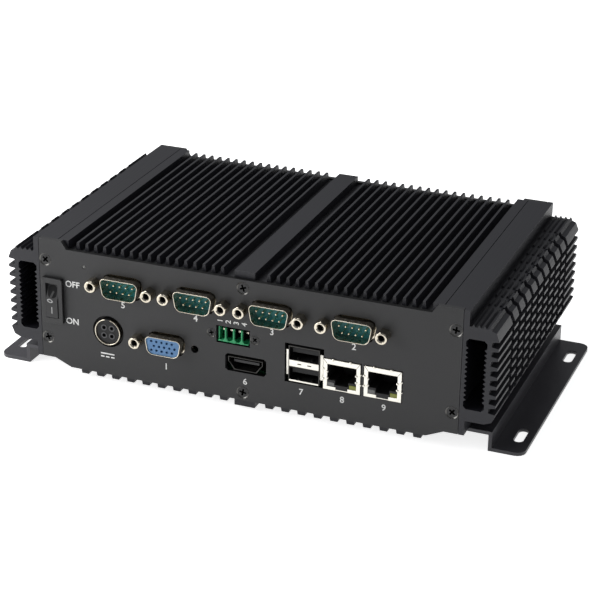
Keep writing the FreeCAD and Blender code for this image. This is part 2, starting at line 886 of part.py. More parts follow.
def terminal_pins():
    z = terminal_z + terminal_pin_rise
    half = terminal_pin / 2
    return [block(terminal_x + (step - 1.5) * terminal_pitch - half,
                  terminal_x + (step - 1.5) * terminal_pitch + half,
                  terminal_pin_front, terminal_floor, z - half, z + half) for step in range(4)]


def terminal_screws():
    return [flat_screw(terminal_x + side * terminal_screw_spread, terminal_z,
                       terminal_head_radius, terminal_shank_radius, terminal_head_depth,
                       terminal_screw_length, 0, 1) for side in (-1, 1)]


# ---- digital video port ----
def digital_points(grow):
    half, rise = digital_width / 2 + grow, digital_height / 2 + grow
    x, z, waist = digital_x, digital_z, digital_z + digital_waist
    right = [(half - digital_foot, z - rise), (half - digital_step, waist),
             (half, waist + digital_step), (half, z + rise)]
    return [(x + u, v) for u, v in right] + [(x - u, v) for u, v in right[::-1]]


def digital_shell():
    tube = prism(digital_points(0), digital_front, digital_back)
    tube = tube.cut(prism(digital_points(-digital_wall), digital_front - 1, digital_back + 1))
    reach = digital_width / 2 - digital_wall
    legs = []
    for side in (-1, 1):
        x = digital_x + side * (reach + digital_wall / 2)
        legs.append(block(x - digital_wall / 2, x + digital_wall / 2, leg_front,
                          leg_front + leg_depth, mainboard_top, digital_z + digital_step + 0.3))
    return joined([tube] + legs)


def digital_insert():
    gap = digital_wall + insert_gap
    body = prism(digital_points(-gap), digital_block_front, digital_back)
    half = digital_tongue_width / 2
    tongue = block(digital_x - half, digital_x + half, digital_tongue_front, digital_back,
                   digital_z, digital_z + digital_tongue_height)
    return body.fuse(tongue).removeSplitter()


# ---- two data ports stacked in one shell ----
def data_shell():
    half, rise = data_width / 2, data_height / 2
    tube = block(data_x - half, data_x + half, data_front, data_back, data_z - rise, data_z + rise)
    cells = [block(data_x - half + data_wall, data_x + half - data_wall, data_front - 1,
                   data_block_front, data_z + side * data_cell_offset - data_cell_height / 2,
                   data_z + side * data_cell_offset + data_cell_height / 2) for side in (-1, 1)]
    hollow = block(data_x - half + data_wall, data_x + half - data_wall, data_block_front,
                   data_back + 1, data_z - rise + data_wall, data_z + rise - data_wall)
    ears = [block(data_x + side * half - data_ear, data_x + side * half + data_ear,
                  data_ear_front, data_ear_front + data_wall, data_z - data_ear_height / 2,
                  data_z + data_ear_height / 2) for side in (-1, 1)]
    inset = half - leg_width / 2
    legs = [block(data_x + side * inset - leg_width / 2, data_x + side * inset + leg_width / 2,
                  leg_front, leg_front + leg_depth, mainboard_top, data_z - rise + data_wall)
            for side in (-1, 1)]
    return joined([tube] + ears + legs).cut(Part.makeCompound(cells + [hollow]))


def data_insert():
    half, rise = data_width / 2 - data_wall - insert_gap, data_height / 2 - data_wall - insert_gap
    shapes = [block(data_x - half, data_x + half, data_block_front, data_back,
                    data_z - rise, data_z + rise)]
    reach = data_tongue_width / 2
    for side in (-1, 1):
        z = data_z + side * data_cell_offset + data_tongue_rise
        shapes.append(block(data_x - reach, data_x + reach, data_tongue_front,
                            data_block_front + 1, z - data_tongue_height / 2,
                            z + data_tongue_height / 2))
    return joined(shapes)


# ---- network port ----
def network_shell(x):
    half = network_width / 2
    wall = network_wall
    box = block(x - half, x + half, network_front, network_back, mainboard_top, network_top)
    return box.cut(block(x - half + wall, x + half - wall, network_front - 1, network_back - wall,
                         mainboard_top + wall, network_top - wall))


def light_boxes(x, grow):
    reach = network_width / 2 - network_wall - insert_gap - network_light_inset
    low = mainboard_top + network_wall + insert_gap + network_light_rise
    boxes = []
    for side in (-1, 1):
        edge = x + side * (reach + grow)
        inner = x + side * (reach - network_light_width - grow)
        boxes.append(block(min(edge, inner), max(edge, inner), network_front,
                           network_front + network_light_depth + grow, low - grow,
                           low + network_light_height + grow))
    return boxes


def network_insert(x):
    gap = network_wall + insert_gap
    half = network_width / 2 - gap
    body = block(x - half, x + half, network_front, network_back - gap,
                 mainboard_top + gap, network_top - gap)
    plug, latch = network_cavity_width / 2, network_latch_width / 2
    opening = [(x - plug, network_cavity_floor), (x - latch, network_cavity_floor),
               (x - latch, network_latch_floor), (x + latch, network_latch_floor),
               (x + latch, network_cavity_floor), (x + plug, network_cavity_floor),
               (x + plug, network_cavity_top), (x - plug, network_cavity_top)]
    cavity = prism(opening, network_front - 1, network_front + network_cavity_depth)
    return body.cut(Part.makeCompound([cavity] + light_boxes(x, insert_gap)))


# ---- rocker switch ----
def rocker_housing():
    bezel = prism(chorded(rectangle(rocker_x, rocker_z, bezel_width, bezel_height),
                          bezel_corner, 1), bezel_front, 0)
    body = block(rocker_x - switch_half_width, rocker_x + switch_half_width, -0.5, switch_back,
                 rocker_z - switch_half_height, rocker_z + switch_half_height)
    along = Vector(1, 0, 0)
    cavity = prism(ring_points(rocker_pivot_y, rocker_z, rocker_cavity_radius, rocker_sides),
                   rocker_x - rocker_cavity_half_width, rocker_x + rocker_cavity_half_width,
                   on_side)
    sockets = Part.makeCylinder(pivot_hole_radius, 2 * pivot_hole_reach,
                                Vector(rocker_x - pivot_hole_reach, rocker_pivot_y, rocker_z),
                                along)
    return joined([bezel, body]).cut(cavity.fuse(sockets))


def rocker():
    along = Vector(1, 0, 0)
    pivot = Vector(rocker_x, rocker_pivot_y, rocker_z)
    drum = prism(ring_points(rocker_pivot_y, rocker_z, rocker_radius, rocker_sides),
                 rocker_x - rocker_half_width, rocker_x + rocker_half_width, on_side)
    reach = rocker_radius + 1
    ridge_y = rocker_pivot_y - rocker_ridge
    fall = reach * math.tan(math.radians(rocker_tilt))
    profile = [(ridge_y, rocker_z), (ridge_y + fall, rocker_z + reach),
               (rocker_back, rocker_z + reach), (rocker_back, rocker_z - reach),
               (ridge_y + fall, rocker_z - reach)]
    wedge = prism(profile, rocker_x - rocker_half_width, rocker_x + rocker_half_width, on_side)
    pins = Part.makeCylinder(pivot_radius, 2 * pivot_reach, pivot - along * pivot_reach, along)
    solid = joined([drum.common(wedge), pins])
    solid.rotate(pivot, along, -rocker_tilt)
    return solid


def rocker_blades():
    half, thick = blade_width / 2, blade_thickness / 2
    return [block(rocker_x - half, rocker_x + half, switch_back, switch_back + blade_length,
                  rocker_z + side * blade_offset - thick, rocker_z + side * blade_offset + thick)
            for side in (-1, 1)]


# ---- small lamp ----
def lamp():
    return faceted_rod(lamp_x, lamp_z, lamp_radius, 0, lamp_back, 8).fuse(
        faceted_rod(lamp_x, lamp_z, lamp_flange_radius, panel_back, lamp_back, 8)).removeSplitter()


# ---- pieces on the boards ----
def square_block(x, y, size, z0, z1):
    half = size / 2
    return block(x - half, x + half, y - half, y + half, z0, z1)


# A long socket with a slot along its rear face that takes the edge of a flat module.
def edge_socket(x, y, width, depth, height, module_width, module_level, thickness, entry):
    half = width / 2
    body = block(x - half, x + half, y, y + depth, mainboard_top, mainboard_top + height)
    grip = module_width / 2 + module_slot_gap
    return body.cut(block(x - grip, x + grip, y + depth - entry, y + depth + 1,
                          mainboard_top + module_level, mainboard_top + module_level + thickness))


def flat_module(x, front, width, depth, level, thickness):
    return block(x - width / 2, x + width / 2, front, front + depth,
                 mainboard_top + level, mainboard_top + level + thickness)


def coin_holder():
    body = faceted_post(cell_x, cell_y, cell_holder_radius, mainboard_top,
                        mainboard_top + cell_holder_height, 16)
    return body.cut(faceted_post(cell_x, cell_y, cell_radius + cell_gap,
                                 mainboard_top + cell_floor,
                                 mainboard_top + cell_holder_height + 1, 16))


processor_bottom = mainboard_bottom - processor_height
pad_bottom = processor_bottom - pad_height
memory_front = memory_y + memory_socket_depth - memory_entry
storage_front = storage_y + storage_socket_depth - storage_entry

side = side_extrusion()
bracket = mounting_bracket()
nodes = {
    "right_side_heatsink": side,
    "left_side_heatsink": mirrored(side),
    "top_heatsink": top_plate(),
    "bottom_heatsink": bottom_plate(),
    "front_panel": front_panel(),
    "rear_panel": rear_panel(),
    "right_mounting_bracket": bracket,
    "left_mounting_bracket": mirrored(bracket),
    "bracket_screws": bracket_screws(),
    "front_panel_screws": panel_screws(0, 1),
    "rear_panel_screws": panel_screws(body_depth, -1),
    "rocker_housing": rocker_housing(),
    "rocker": rocker(),
    "rocker_blades": rocker_blades(),
    "indicator_lamp": lamp(),
    "power_jack_ring": power_ring(),
    "power_jack_body": power_body(),
    "serial_pins": serial_pins(),
    "serial_jackscrews": [jackscrew(x + side_sign * jack_spread, serial_z)
                          for x in serial_centres for side_sign in (-1, 1)],
    "video_shell": port_shell(video_x, video_z, video_width, video_height),
    "video_insert": port_insert(video_x, video_z, video_width, video_height,
                                video_insert_face, mainboard_top),
    "video_jackscrew": jackscrew(video_x - jack_spread, video_z),
    "terminal_header": terminal_header(),
    "terminal_pins": terminal_pins(),
    "terminal_screws": terminal_screws(),
    "digital_video_shell": digital_shell(),
    "digital_video_insert": digital_insert(),
    "data_port_shell": data_shell(),
    "data_port_insert": data_insert(),
    "network_indicators": [box for x in network_centres for box in light_boxes(x, 0)],
    "mainboard": circuit_board(-mainboard_half_width, mainboard_half_width, mainboard_front,
                               mainboard_back, mainboard_bottom, mainboard_spots),
    "mainboard_standoffs": pillars(mainboard_spots, floor_top, mainboard_bottom),
    "mainboard_screws": board_screws(mainboard_spots, mainboard_top),
    "serial_board": circuit_board(serial_board_left, serial_board_right, serial_board_front,
                                  serial_board_back, serial_board_bottom, serial_board_spots),
    "serial_board_standoffs": pillars(serial_board_spots, mainboard_top, serial_board_bottom),
    "serial_board_screws": board_screws(serial_board_spots, serial_board_top),
    "board_link_connector": block(link_x - link_width / 2, link_x + link_width / 2,
                                  link_y - link_depth / 2, link_y + link_depth / 2,
                                  mainboard_top, serial_board_bottom),
    "processor": square_block(processor_x, processor_y, processor_size,
                              processor_bottom, mainboard_bottom),
    "thermal_pad": square_block(processor_x, processor_y, pad_size, pad_bottom, processor_bottom),
    "thermal_block": square_block(processor_x, processor_y, block_size, floor_top, pad_bottom),
    "memory_socket": edge_socket(memory_x, memory_y, memory_socket_width, memory_socket_depth,
                                 memory_socket_height, memory_width, memory_height,
                                 memory_thickness, memory_entry),
    "memory_module": flat_module(memory_x, memory_front, memory_width, memory_depth,
                                 memory_height, memory_thickness),
    "storage_socket": edge_socket(storage_x, storage_y, storage_socket_width,
                                  storage_socket_depth, storage_socket_height, storage_width,
                                  storage_height, storage_thickness, storage_entry),
    "storage_module": flat_module(storage_x, storage_front, storage_width, storage_depth,
                                  storage_height, storage_thickness),
    "coin_cell": faceted_post(cell_x, cell_y, cell_radius, mainboard_top + cell_floor,
                              mainboard_top + cell_floor + cell_height, 16),
    "coin_cell_holder": coin_holder(),
}
for number, x in enumerate(serial_centres, 1):
    nodes[f"serial_port_{number}_shell"] = port_shell(x, serial_z, serial_width, serial_height)
    nodes[f"serial_port_{number}_insert"] = port_insert(x, serial_z, serial_width, serial_height,
                                                        serial_insert_face, serial_board_top)
for number, x in enumerate(network_centres, 1):
    nodes[f"network_port_{number}_shell"] = network_shell(x)
    nodes[f"network_port_{number}_insert"] = network_insert(x)

os.makedirs("parts", exist_ok=True)
for name, shape in nodes.items():
    solid = Part.makeCompound(shape) if isinstance(shape, list) else shape
    if len(solid.Solids) == 1:
        solid = solid.Solids[0]
    solid.translate(Vector(0, -footprint_middle, 0))
    solid.exportStep(f"parts/{name}.step")
    print(name, len(solid.Solids), round(solid.Volume, 1))
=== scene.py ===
# Fanless industrial computer: fine shapes, finishes, lettering, light and camera.
import math
import bmesh
import bpy
from mathutils import Matrix, Vector


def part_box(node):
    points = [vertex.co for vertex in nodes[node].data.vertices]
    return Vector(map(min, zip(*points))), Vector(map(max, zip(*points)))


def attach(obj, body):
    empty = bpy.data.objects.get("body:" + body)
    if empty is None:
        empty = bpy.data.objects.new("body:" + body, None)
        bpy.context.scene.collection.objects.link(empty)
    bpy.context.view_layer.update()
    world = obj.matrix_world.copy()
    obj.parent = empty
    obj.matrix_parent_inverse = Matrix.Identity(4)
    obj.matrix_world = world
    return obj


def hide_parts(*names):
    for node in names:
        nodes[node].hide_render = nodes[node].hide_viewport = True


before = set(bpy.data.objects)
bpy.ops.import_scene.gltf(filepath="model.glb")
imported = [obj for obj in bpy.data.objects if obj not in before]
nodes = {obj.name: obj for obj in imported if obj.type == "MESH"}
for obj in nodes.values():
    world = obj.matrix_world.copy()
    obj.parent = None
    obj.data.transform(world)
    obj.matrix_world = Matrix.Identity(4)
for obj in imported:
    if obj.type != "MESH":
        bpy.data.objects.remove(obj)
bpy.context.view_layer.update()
mm = 0.001
print("frame loaded:", len(nodes), "nodes")


# Shader node helpers.
def addNode(tree, kind, inputs=None, operation=None):
    node = tree.nodes.new("ShaderNode" + kind)
    if operation:
        node.operation = operation
    setInputs(node, inputs or {})
    return node


def addColourMix(tree):
    node = addNode(tree, "Mix")
    node.data_type = "RGBA"
    return node


def setInputs(node, values):
    for label, value in values.items():
        node.inputs[label].default_value = value


def joinNodes(tree, *joints):
    # Each joint is a node and its output, then a node and its input.
    for source, output, target, entry in joints:
        tree.links.new(source.outputs[output], target.inputs[entry])


def newMaterial(name):
    material = bpy.data.materials.new(name)
    material.use_nodes = True
    return material, material.node_tree, material.node_tree.nodes["Principled BSDF"]


# Camera, floor and light.
cameraSettings = {
    "place": (0.2705, -0.6986, 0.3600),
    "azimuth": 21.23,
    "elevation": 23.94,
    "roll": 0.82,
    "lens": 115.6,
    "sensor": 36,
    "shift": (0.0086, -0.0072),
    "clip": (0.01, 20),
}
stageSettings = {
    "floorSize": 6.0,
    "floorTone": 0.9,
    "cameraGlow": 0.8,
    "worldTone": (0.95, 0.97, 1.0),
    "worldStrength": 0.27,
}
lampSettings = {
    "key": {"place": (-0.5, -0.36, 0.25), "size": 0.35, "power": 2.15},
    "fill": {"place": (0.8, -0.5, 0.9), "size": 0.9, "power": 0.2},
    "top": {"place": (-0.55, 0.25, 1.15), "size": 0.9, "power": 10.0},
}
lampTarget = Vector((0, 0, 0.03))


def turnBy(angle, axis):
    return Matrix.Rotation(math.radians(angle), 4, axis)


def addCamera(settings):
    data = bpy.data.cameras.new("camera")
    data.lens, data.sensor_width = settings["lens"], settings["sensor"]
    data.shift_x, data.shift_y = settings["shift"]
    data.clip_start, data.clip_end = settings["clip"]
    camera = bpy.data.objects.new("camera", data)
    turn = (turnBy(settings["azimuth"], "Z") @ turnBy(90 - settings["elevation"], "X")
            @ turnBy(settings["roll"], "Z"))
    camera.matrix_world = Matrix.Translation(settings["place"]) @ turn
    bpy.context.scene.collection.objects.link(camera)
    bpy.context.scene.camera = camera


def addLamp(name, settings):
    data = bpy.data.lights.new(name, "AREA")
    data.shape = "SQUARE"
    data.size, data.energy = settings["size"], settings["power"]
    lamp = bpy.data.objects.new(name, data)
    place = Vector(settings["place"])
    lamp.matrix_world = (Matrix.Translation(place)
                         @ (place - lampTarget).to_track_quat("Z", "Y").to_matrix().to_4x4())
    bpy.context.scene.collection.objects.link(lamp)


def addWorld(settings):
    world = bpy.data.worlds.new("studio")
    world.use_nodes = True
    setInputs(world.node_tree.nodes["Background"], {
        "Color": (*settings["worldTone"], 1), "Strength": settings["worldStrength"]})
    bpy.context.scene.world = world


def addFloor(settings):
    bm = bmesh.new()
    bmesh.ops.create_grid(bm, x_segments=1, y_segments=1, size=settings["floorSize"] / 2)
    mesh = bpy.data.meshes.new("floor")
    bm.to_mesh(mesh)
    bm.free()
    material, tree, shader = newMaterial("floorWhite")
    level = settings["floorTone"]
    setInputs(shader, {"Base Color": (level, level, level, 1), "Roughness": 1,
                       "Specular IOR Level": 0, "Emission Color": (1, 1, 1, 1)})
    path = addNode(tree, "LightPath")
    seen = addNode(tree, "Math", operation="MAXIMUM")
    through = addNode(tree, "Math", operation="MAXIMUM")
    glow = addNode(tree, "Math", {1: settings["cameraGlow"]}, "MULTIPLY")
    joinNodes(tree, (path, "Is Camera Ray", seen, 0), (path, "Is Glossy Ray", seen, 1),
              (seen, 0, through, 0), (path, "Is Transmission Ray", through, 1),
              (through, 0, glow, 0), (glow, 0, shader, "Emission Strength"))
    mesh.materials.append(material)
    floor = bpy.data.objects.new("floor", mesh)
    bpy.context.scene.collection.objects.link(floor)


addCamera(cameraSettings)
addWorld(stageSettings)
addFloor(stageSettings)
for lampName, lampValues in lampSettings.items():
    addLamp(lampName, lampValues)
bpy.context.scene.view_settings.view_transform = "Standard"
print("camera, floor and light set")


# Shader groups shared by the finishes.
black, white = (0, 0, 0, 1), (1, 1, 1, 1)
softSpread = {"From Min": 0.3, "From Max": 0.7}
surfaceDetail = {
    "driftDetail": 4, "grainDetail": 2, "lineScale": 1800, "lineDetail": 1,
    "lineSqueeze": (1, 0.02, 1), "edgeSamples": 4, "edgeFrom": 0.99, "edgeTo": 0.88,
    "wearScale": 260, "wearDetail": 5, "trackWidth": 0.03, "padShare": 3, "padSize": 0.14,
}


def newGroup(name, inputs, outputs):
    group = bpy.data.node_groups.new(name, "ShaderNodeTree")
    for label, kind, value in inputs:
        socket = group.interface.new_socket(label, in_out="INPUT", socket_type="NodeSocket" + kind)
        socket.default_value = value
    for label, kind in outputs:
        group.interface.new_socket(label, in_out="OUTPUT", socket_type="NodeSocket" + kind)
    return group, group.nodes.new("NodeGroupInput"), group.nodes.new("NodeGroupOutput")


def toneDriftGroup(detail):
    # Two tones that drift softly into each other over the surface.
    group, start, end = newGroup(
        "toneDrift", [("First", "Color", black), ("Second", "Color", black),
                      ("Scale", "Float", 20.0), ("Stretch", "Vector", (1, 1, 1))],
        [("Color", "Color")])
    place = addNode(group, "TexCoord")
    stretch = addNode(group, "VectorMath", operation="MULTIPLY")
    noise = addNode(group, "TexNoise", {"Detail": detail["driftDetail"]})
    spread = addNode(group, "MapRange", softSpread)
    mix = addColourMix(group)
    joinNodes(group, (place, "Object", stretch, 0), (start, "Stretch", stretch, 1),
              (stretch, 0, noise, "Vector"), (start, "Scale", noise, "Scale"),
              (noise, "Fac", spread, "Value"), (spread, "Result", mix, "Factor"),
              (start, "First", mix, "A"), (start, "Second", mix, "B"),
              (mix, "Result", end, "Color"))
    return group


def fineGrainGroup(detail):
    # Fine blasted grain crossed with faint lines that run along the extrusion.
    group, start, end = newGroup(
        "fineGrain", [("Scale", "Float", 3000.0), ("Lines", "Float", 0.0),
                      ("Low", "Float", 0.4), ("High", "Float", 0.5)],
        [("Roughness", "Float"), ("Height", "Float")])
    place = addNode(group, "TexCoord")
    grain = addNode(group, "TexNoise", {"Detail": detail["grainDetail"]})
    squeeze = addNode(group, "VectorMath", {1: detail["lineSqueeze"]}, "MULTIPLY")
    lines = addNode(group, "TexNoise", {"Scale": detail["lineScale"],
                                        "Detail": detail["lineDetail"]})
    blend = addNode(group, "Mix")
    rough = addNode(group, "MapRange", softSpread)
    joinNodes(group, (place, "Object", grain, "Vector"), (start, "Scale", grain, "Scale"),
              (place, "Object", squeeze, 0), (squeeze, 0, lines, "Vector"),
              (start, "Lines", blend, "Factor"), (grain, "Fac", blend, "A"),
              (lines, "Fac", blend, "B"), (blend, "Result", rough, "Value"),
              (start, "Low", rough, "To Min"), (start, "High", rough, "To Max"),
              (rough, "Result", end, "Roughness"), (blend, "Result", end, "Height"))
    return group


def edgeWearGroup(detail):
    # A mask of outer edges, broken up by noise, that carries the worn colour.
    group, start, end = newGroup(
        "edgeWear", [("Color", "Color", black), ("Worn", "Color", black),
                     ("Radius", "Float", 0.0004), ("Amount", "Float", 0.5)],
        [("Color", "Color")])
    bevel = addNode(group, "Bevel")
    bevel.samples = detail["edgeSamples"]
    geometry = addNode(group, "NewGeometry")
    dot = addNode(group, "VectorMath", operation="DOT_PRODUCT")
    edge = addNode(group, "MapRange", {"From Min": detail["edgeFrom"],
                                       "From Max": detail["edgeTo"]})
    place = addNode(group, "TexCoord")
    noise = addNode(group, "TexNoise", {"Scale": detail["wearScale"],
                                        "Detail": detail["wearDetail"]})
    broken = addNode(group, "Math", operation="MULTIPLY")
    amount = addNode(group, "Math", operation="MULTIPLY")
    amount.use_clamp = True
    mix = addColourMix(group)
    joinNodes(group, (start, "Radius", bevel, "Radius"), (bevel, "Normal", dot, 0),
              (geometry, "Normal", dot, 1), (dot, "Value", edge, "Value"),
              (place, "Object", noise, "Vector"), (edge, "Result", broken, 0),
              (noise, "Fac", broken, 1), (broken, 0, amount, 0), (start, "Amount", amount, 1),
              (amount, 0, mix, "Factor"), (start, "Color", mix, "A"), (start, "Worn", mix, "B"),
              (mix, "Result", end, "Color"))
    return group


def boardTracksGroup(detail):
    # Copper tracks and pads under the lacquer of a circuit board.
    group, start, end = newGroup("boardTracks", [("Scale", "Float", 140.0)],
                                 [("Tracks", "Float"), ("Pads", "Float")])
    place = addNode(group, "TexCoord")
    brick = addNode(group, "TexBrick", {"Mortar Size": detail["trackWidth"], "Color1": black,
                                        "Color2": black, "Mortar": white})
    cells = addNode(group, "TexVoronoi")
    finer = addNode(group, "Math", {1: detail["padShare"]}, "MULTIPLY")
    pads = addNode(group, "Math", {1: detail["padSize"]}, "LESS_THAN")
    joinNodes(group, (place, "Object", brick, "Vector"), (start, "Scale", brick, "Scale"),
              (place, "Object", cells, "Vector"), (start, "Scale", finer, 0),
              (finer, 0, cells, "Scale"), (cells, "Distance", pads, 0),
              (brick, "Color", end, "Tracks"), (pads, 0, end, "Pads"))
    return group


toneDrift = toneDriftGroup(surfaceDetail)
fineGrain = fineGrainGroup(surfaceDetail)
edgeWear = edgeWearGroup(surfaceDetail)
boardTracks = boardTracksGroup(surfaceDetail)


# Finishes.
def tone(red, green, blue):
    # A screen tone as linear light.
    values = []
    for level in (red, green, blue):
        share = level / 255
        values.append(share / 12.92 if share <= 0.04045 else ((share + 0.055) / 1.055) ** 2.4)
    return (*values, 1)


def coat(first, second, worn, rough, bump, wear=0.2, metallic=0.0, grain=0.3, lines=0.0,
         specular=0.5):
    # Three screen tones, the range of roughness, and the grain size in millimetres.
    return {"first": tone(*first), "second": tone(*second), "worn": tone(*worn), "rough": rough,
            "bump": bump, "wear": wear, "metallic": metallic, "grain": grain, "lines": lines,
            "specular": specular}


finishes = {
    "darkAnodised": coat((27, 27, 32), (31, 31, 37), (78, 78, 82), (0.42, 0.52), 0.16, wear=0.3,
                         grain=0.25, lines=0.5, specular=0.4),
    # Painted shade, laid on the front plate's top edge and on the rocker's sunken half.
    "paintedShade": coat((15, 15, 16), (18, 18, 19), (30, 30, 31), (0.6, 0.7), 0.1, specular=0.15),
    "panelCoat": coat((40, 40, 41), (45, 45, 46), (92, 92, 94), (0.44, 0.54), 0.14, wear=0.3,
                      specular=0.4),
    "bracketCoat": coat((54, 53, 58), (60, 59, 64), (95, 94, 98), (0.34, 0.42), 0.12, wear=0.4,
                        grain=0.35),
    "blackScrew": coat((26, 26, 27), (34, 34, 35), (120, 118, 116), (0.3, 0.42), 0.05, wear=0.25,
                       metallic=0.2, grain=0.2),
    # Painted shade for the screws' cross recesses.
    "recessPaintedShade": coat((9, 9, 10), (12, 12, 13), (24, 24, 25), (0.7, 0.8), 0.05, specular=0.05),
    "softGrey": coat((74, 74, 76), (84, 84, 86), (110, 110, 112), (0.5, 0.6), 0.05, wear=0.3,
                     specular=0.4),
    "bareSeat": coat((104, 103, 100), (84, 83, 81), (150, 148, 144), (0.22, 0.34), 0.03, wear=0.3,
                     metallic=0.9),
    "nickel": coat((214, 206, 190), (194, 186, 170), (232, 226, 214), (0.16, 0.24), 0.01,
                   metallic=1.0, grain=0.8),
    "tinPlate": coat((234, 231, 222), (218, 215, 206), (244, 240, 232), (0.28, 0.38), 0.01,
                     wear=0.3, metallic=1.0, grain=0.8),
    # A darker plating, used on the digital video shell and as painted shade in the lock-screw
    # bores, on the springs inside the D shells and on the data-port shell.
    "darkPlate": coat((66, 65, 63), (52, 51, 50), (104, 102, 98), (0.26, 0.38), 0.03, wear=0.25,
                      metallic=0.8, grain=0.8),
    "contactGold": coat((240, 232, 206), (232, 220, 188), (250, 244, 226), (0.18, 0.28), 0.02,
                        wear=0.4, metallic=1.0),
    "blackPlastic": coat((24, 24, 25), (30, 30, 31), (58, 58, 60), (0.42, 0.55), 0.1, wear=0.3),
    # Near-black plastic, also used as painted shade deep in the data-port cells and on the band's
    # small openings.
    "deepPlastic": coat((13, 13, 14), (19, 19, 20), (30, 30, 31), (0.5, 0.6), 0.08, specular=0.35),
    "greenInsert": coat((8, 96, 104), (13, 118, 122), (30, 130, 120), (0.3, 0.42), 0.06),
    "blueInsert": coat((84, 126, 172), (94, 136, 180), (130, 164, 200), (0.38, 0.5), 0.06),
    "greenShade": coat((4, 30, 20), (6, 38, 25), (12, 60, 40), (0.6, 0.7), 0.06, specular=0.12),
    "greenPlastic": coat((32, 148, 92), (40, 158, 100), (96, 200, 150), (0.34, 0.46), 0.06,
                         wear=0.35),
    "clearLamp": coat((120, 120, 118), (132, 132, 130), (236, 236, 232), (0.12, 0.2), 0.02),
    "limeLamp": coat((122, 128, 40), (136, 140, 52), (190, 192, 110), (0.18, 0.28), 0.02),
    "greyLamp": coat((92, 92, 92), (108, 108, 106), (150, 150, 148), (0.18, 0.28), 0.02),
    "printInk": coat((244, 244, 242), (236, 236, 234), (220, 220, 218), (0.5, 0.62), 0.04,
                     grain=0.2, specular=0.4),
    "markInk": coat((168, 168, 168), (150, 150, 150), (140, 140, 140), (0.5, 0.62), 0.04, grain=0.2,
                    specular=0.4),
    "chipEpoxy": coat((34, 35, 38), (42, 43, 46), (70, 70, 72), (0.5, 0.62), 0.08, grain=0.2),
    "thermalPad": coat((150, 156, 170), (162, 168, 180), (180, 186, 196), (0.6, 0.75), 0.12,
                       grain=0.4, specular=0.3),
    "millAluminium": coat((190, 190, 192), (176, 176, 178), (222, 222, 224), (0.28, 0.42), 0.1,
                          wear=0.5, metallic=1.0, lines=0.8),
    "brass": coat((196, 160, 92), (178, 144, 80), (226, 200, 140), (0.24, 0.36), 0.03, wear=0.4,
                  metallic=1.0),
}
finishDetail = {"driftScale": 28.0, "lineStretch": 0.25, "edgeRadius": 0.35, "bumpDepth": 0.05}
boardSettings = {
    "lacquer": tone(14, 62, 40), "lacquerSecond": tone(18, 72, 46), "driftScale": 60.0,
    "track": tone(30, 104, 66), "pad": tone(206, 186, 128), "scale": 140.0,
    "grainScale": 2500.0, "rough": (0.28, 0.40),
}


def addGroup(tree, group, values):
    node = tree.nodes.new("ShaderNodeGroup")
    node.node_tree = group
    setInputs(node, values)
    return node


def makeFinish(name, values):
    material, tree, shader = newMaterial(name)
    material.diffuse_color = values["first"]
    setInputs(shader, {"Metallic": values["metallic"], "Specular IOR Level": values["specular"]})
    along = finishDetail["lineStretch"] if values["lines"] else 1
    drift = addGroup(tree, toneDrift, {"First": values["first"], "Second": values["second"],
                                       "Scale": finishDetail["driftScale"],
                                       "Stretch": (1, along, 1)})
    wear = addGroup(tree, edgeWear, {"Worn": values["worn"], "Amount": values["wear"],
                                     "Radius": finishDetail["edgeRadius"] * mm})
    grain = addGroup(tree, fineGrain, {"Scale": 1 / (values["grain"] * mm),
                                       "Lines": values["lines"], "Low": values["rough"][0],
                                       "High": values["rough"][1]})
    bump = addNode(tree, "Bump", {"Strength": values["bump"],
                                  "Distance": finishDetail["bumpDepth"] * mm})
    joinNodes(tree, (drift, "Color", wear, "Color"), (wear, "Color", shader, "Base Color"),
              (grain, "Roughness", shader, "Roughness"), (grain, "Height", bump, "Height"),
              (bump, "Normal", shader, "Normal"))
    return material


def makeBoardFinish(name, values):
    material, tree, shader = newMaterial(name)
    drift = addGroup(tree, toneDrift, {"First": values["lacquer"],
                                       "Second": values["lacquerSecond"],
                                       "Scale": values["driftScale"]})
    tracks = addGroup(tree, boardTracks, {"Scale": values["scale"]})
    grain = addGroup(tree, fineGrain, {"Scale": values["grainScale"], "Low": values["rough"][0],
                                       "High": values["rough"][1]})
    first, second = addColourMix(tree), addColourMix(tree)
    setInputs(first, {"B": values["track"]})
    setInputs(second, {"B": values["pad"]})
    joinNodes(tree, (tracks, "Tracks", first, "Factor"), (tracks, "Pads", second, "Factor"),
              (drift, "Color", first, "A"), (first, "Result", second, "A"),
              (second, "Result", shader, "Base Color"), (tracks, "Pads", shader, "Metallic"),
              (grain, "Roughness", shader, "Roughness"))
    return material


materials = {name: makeFinish(name, values) for name, values in finishes.items()}
materials["boardLacquer"] = makeBoardFinish("boardLacquer", boardSettings)
slotFinish = {
    "dark_anodised": "darkAnodised", "dark_panel": "panelCoat", "bracket_coat": "bracketCoat",
    "dark_screw": "blackScrew", "nickel_shell": "nickel", "bright_steel": "tinPlate",
    "contact_metal": "contactGold", "black_plastic": "blackPlastic",
    "dark_green_plastic": "greenInsert", "blue_plastic": "blueInsert",
    "green_plastic": "greenPlastic", "white_plastic": "printInk", "lamp_plastic": "clearLamp",
    "link_lamp_plastic": "limeLamp", "circuit_board": "boardLacquer", "chip": "chipEpoxy",
    "pad": "thermalPad", "bare_aluminium": "millAluminium",
}
nodeSlot = {}
for node in nodes.values():
    for holder in node.material_slots:
        slotName = holder.material.name.split(".")[0]
        nodeSlot[node.name] = slotName
        holder.material = materials[slotFinish[slotName]]
for name in ("mainboard_standoffs", "serial_board_standoffs"):
    nodes[name].material_slots[0].material = materials["brass"]
print("finishes made:", len(materials))


# Making and placing pieces: small ones are shaped in millimetres with +Z outwards, then
# stamped on a face.
mergeGap = 0.002


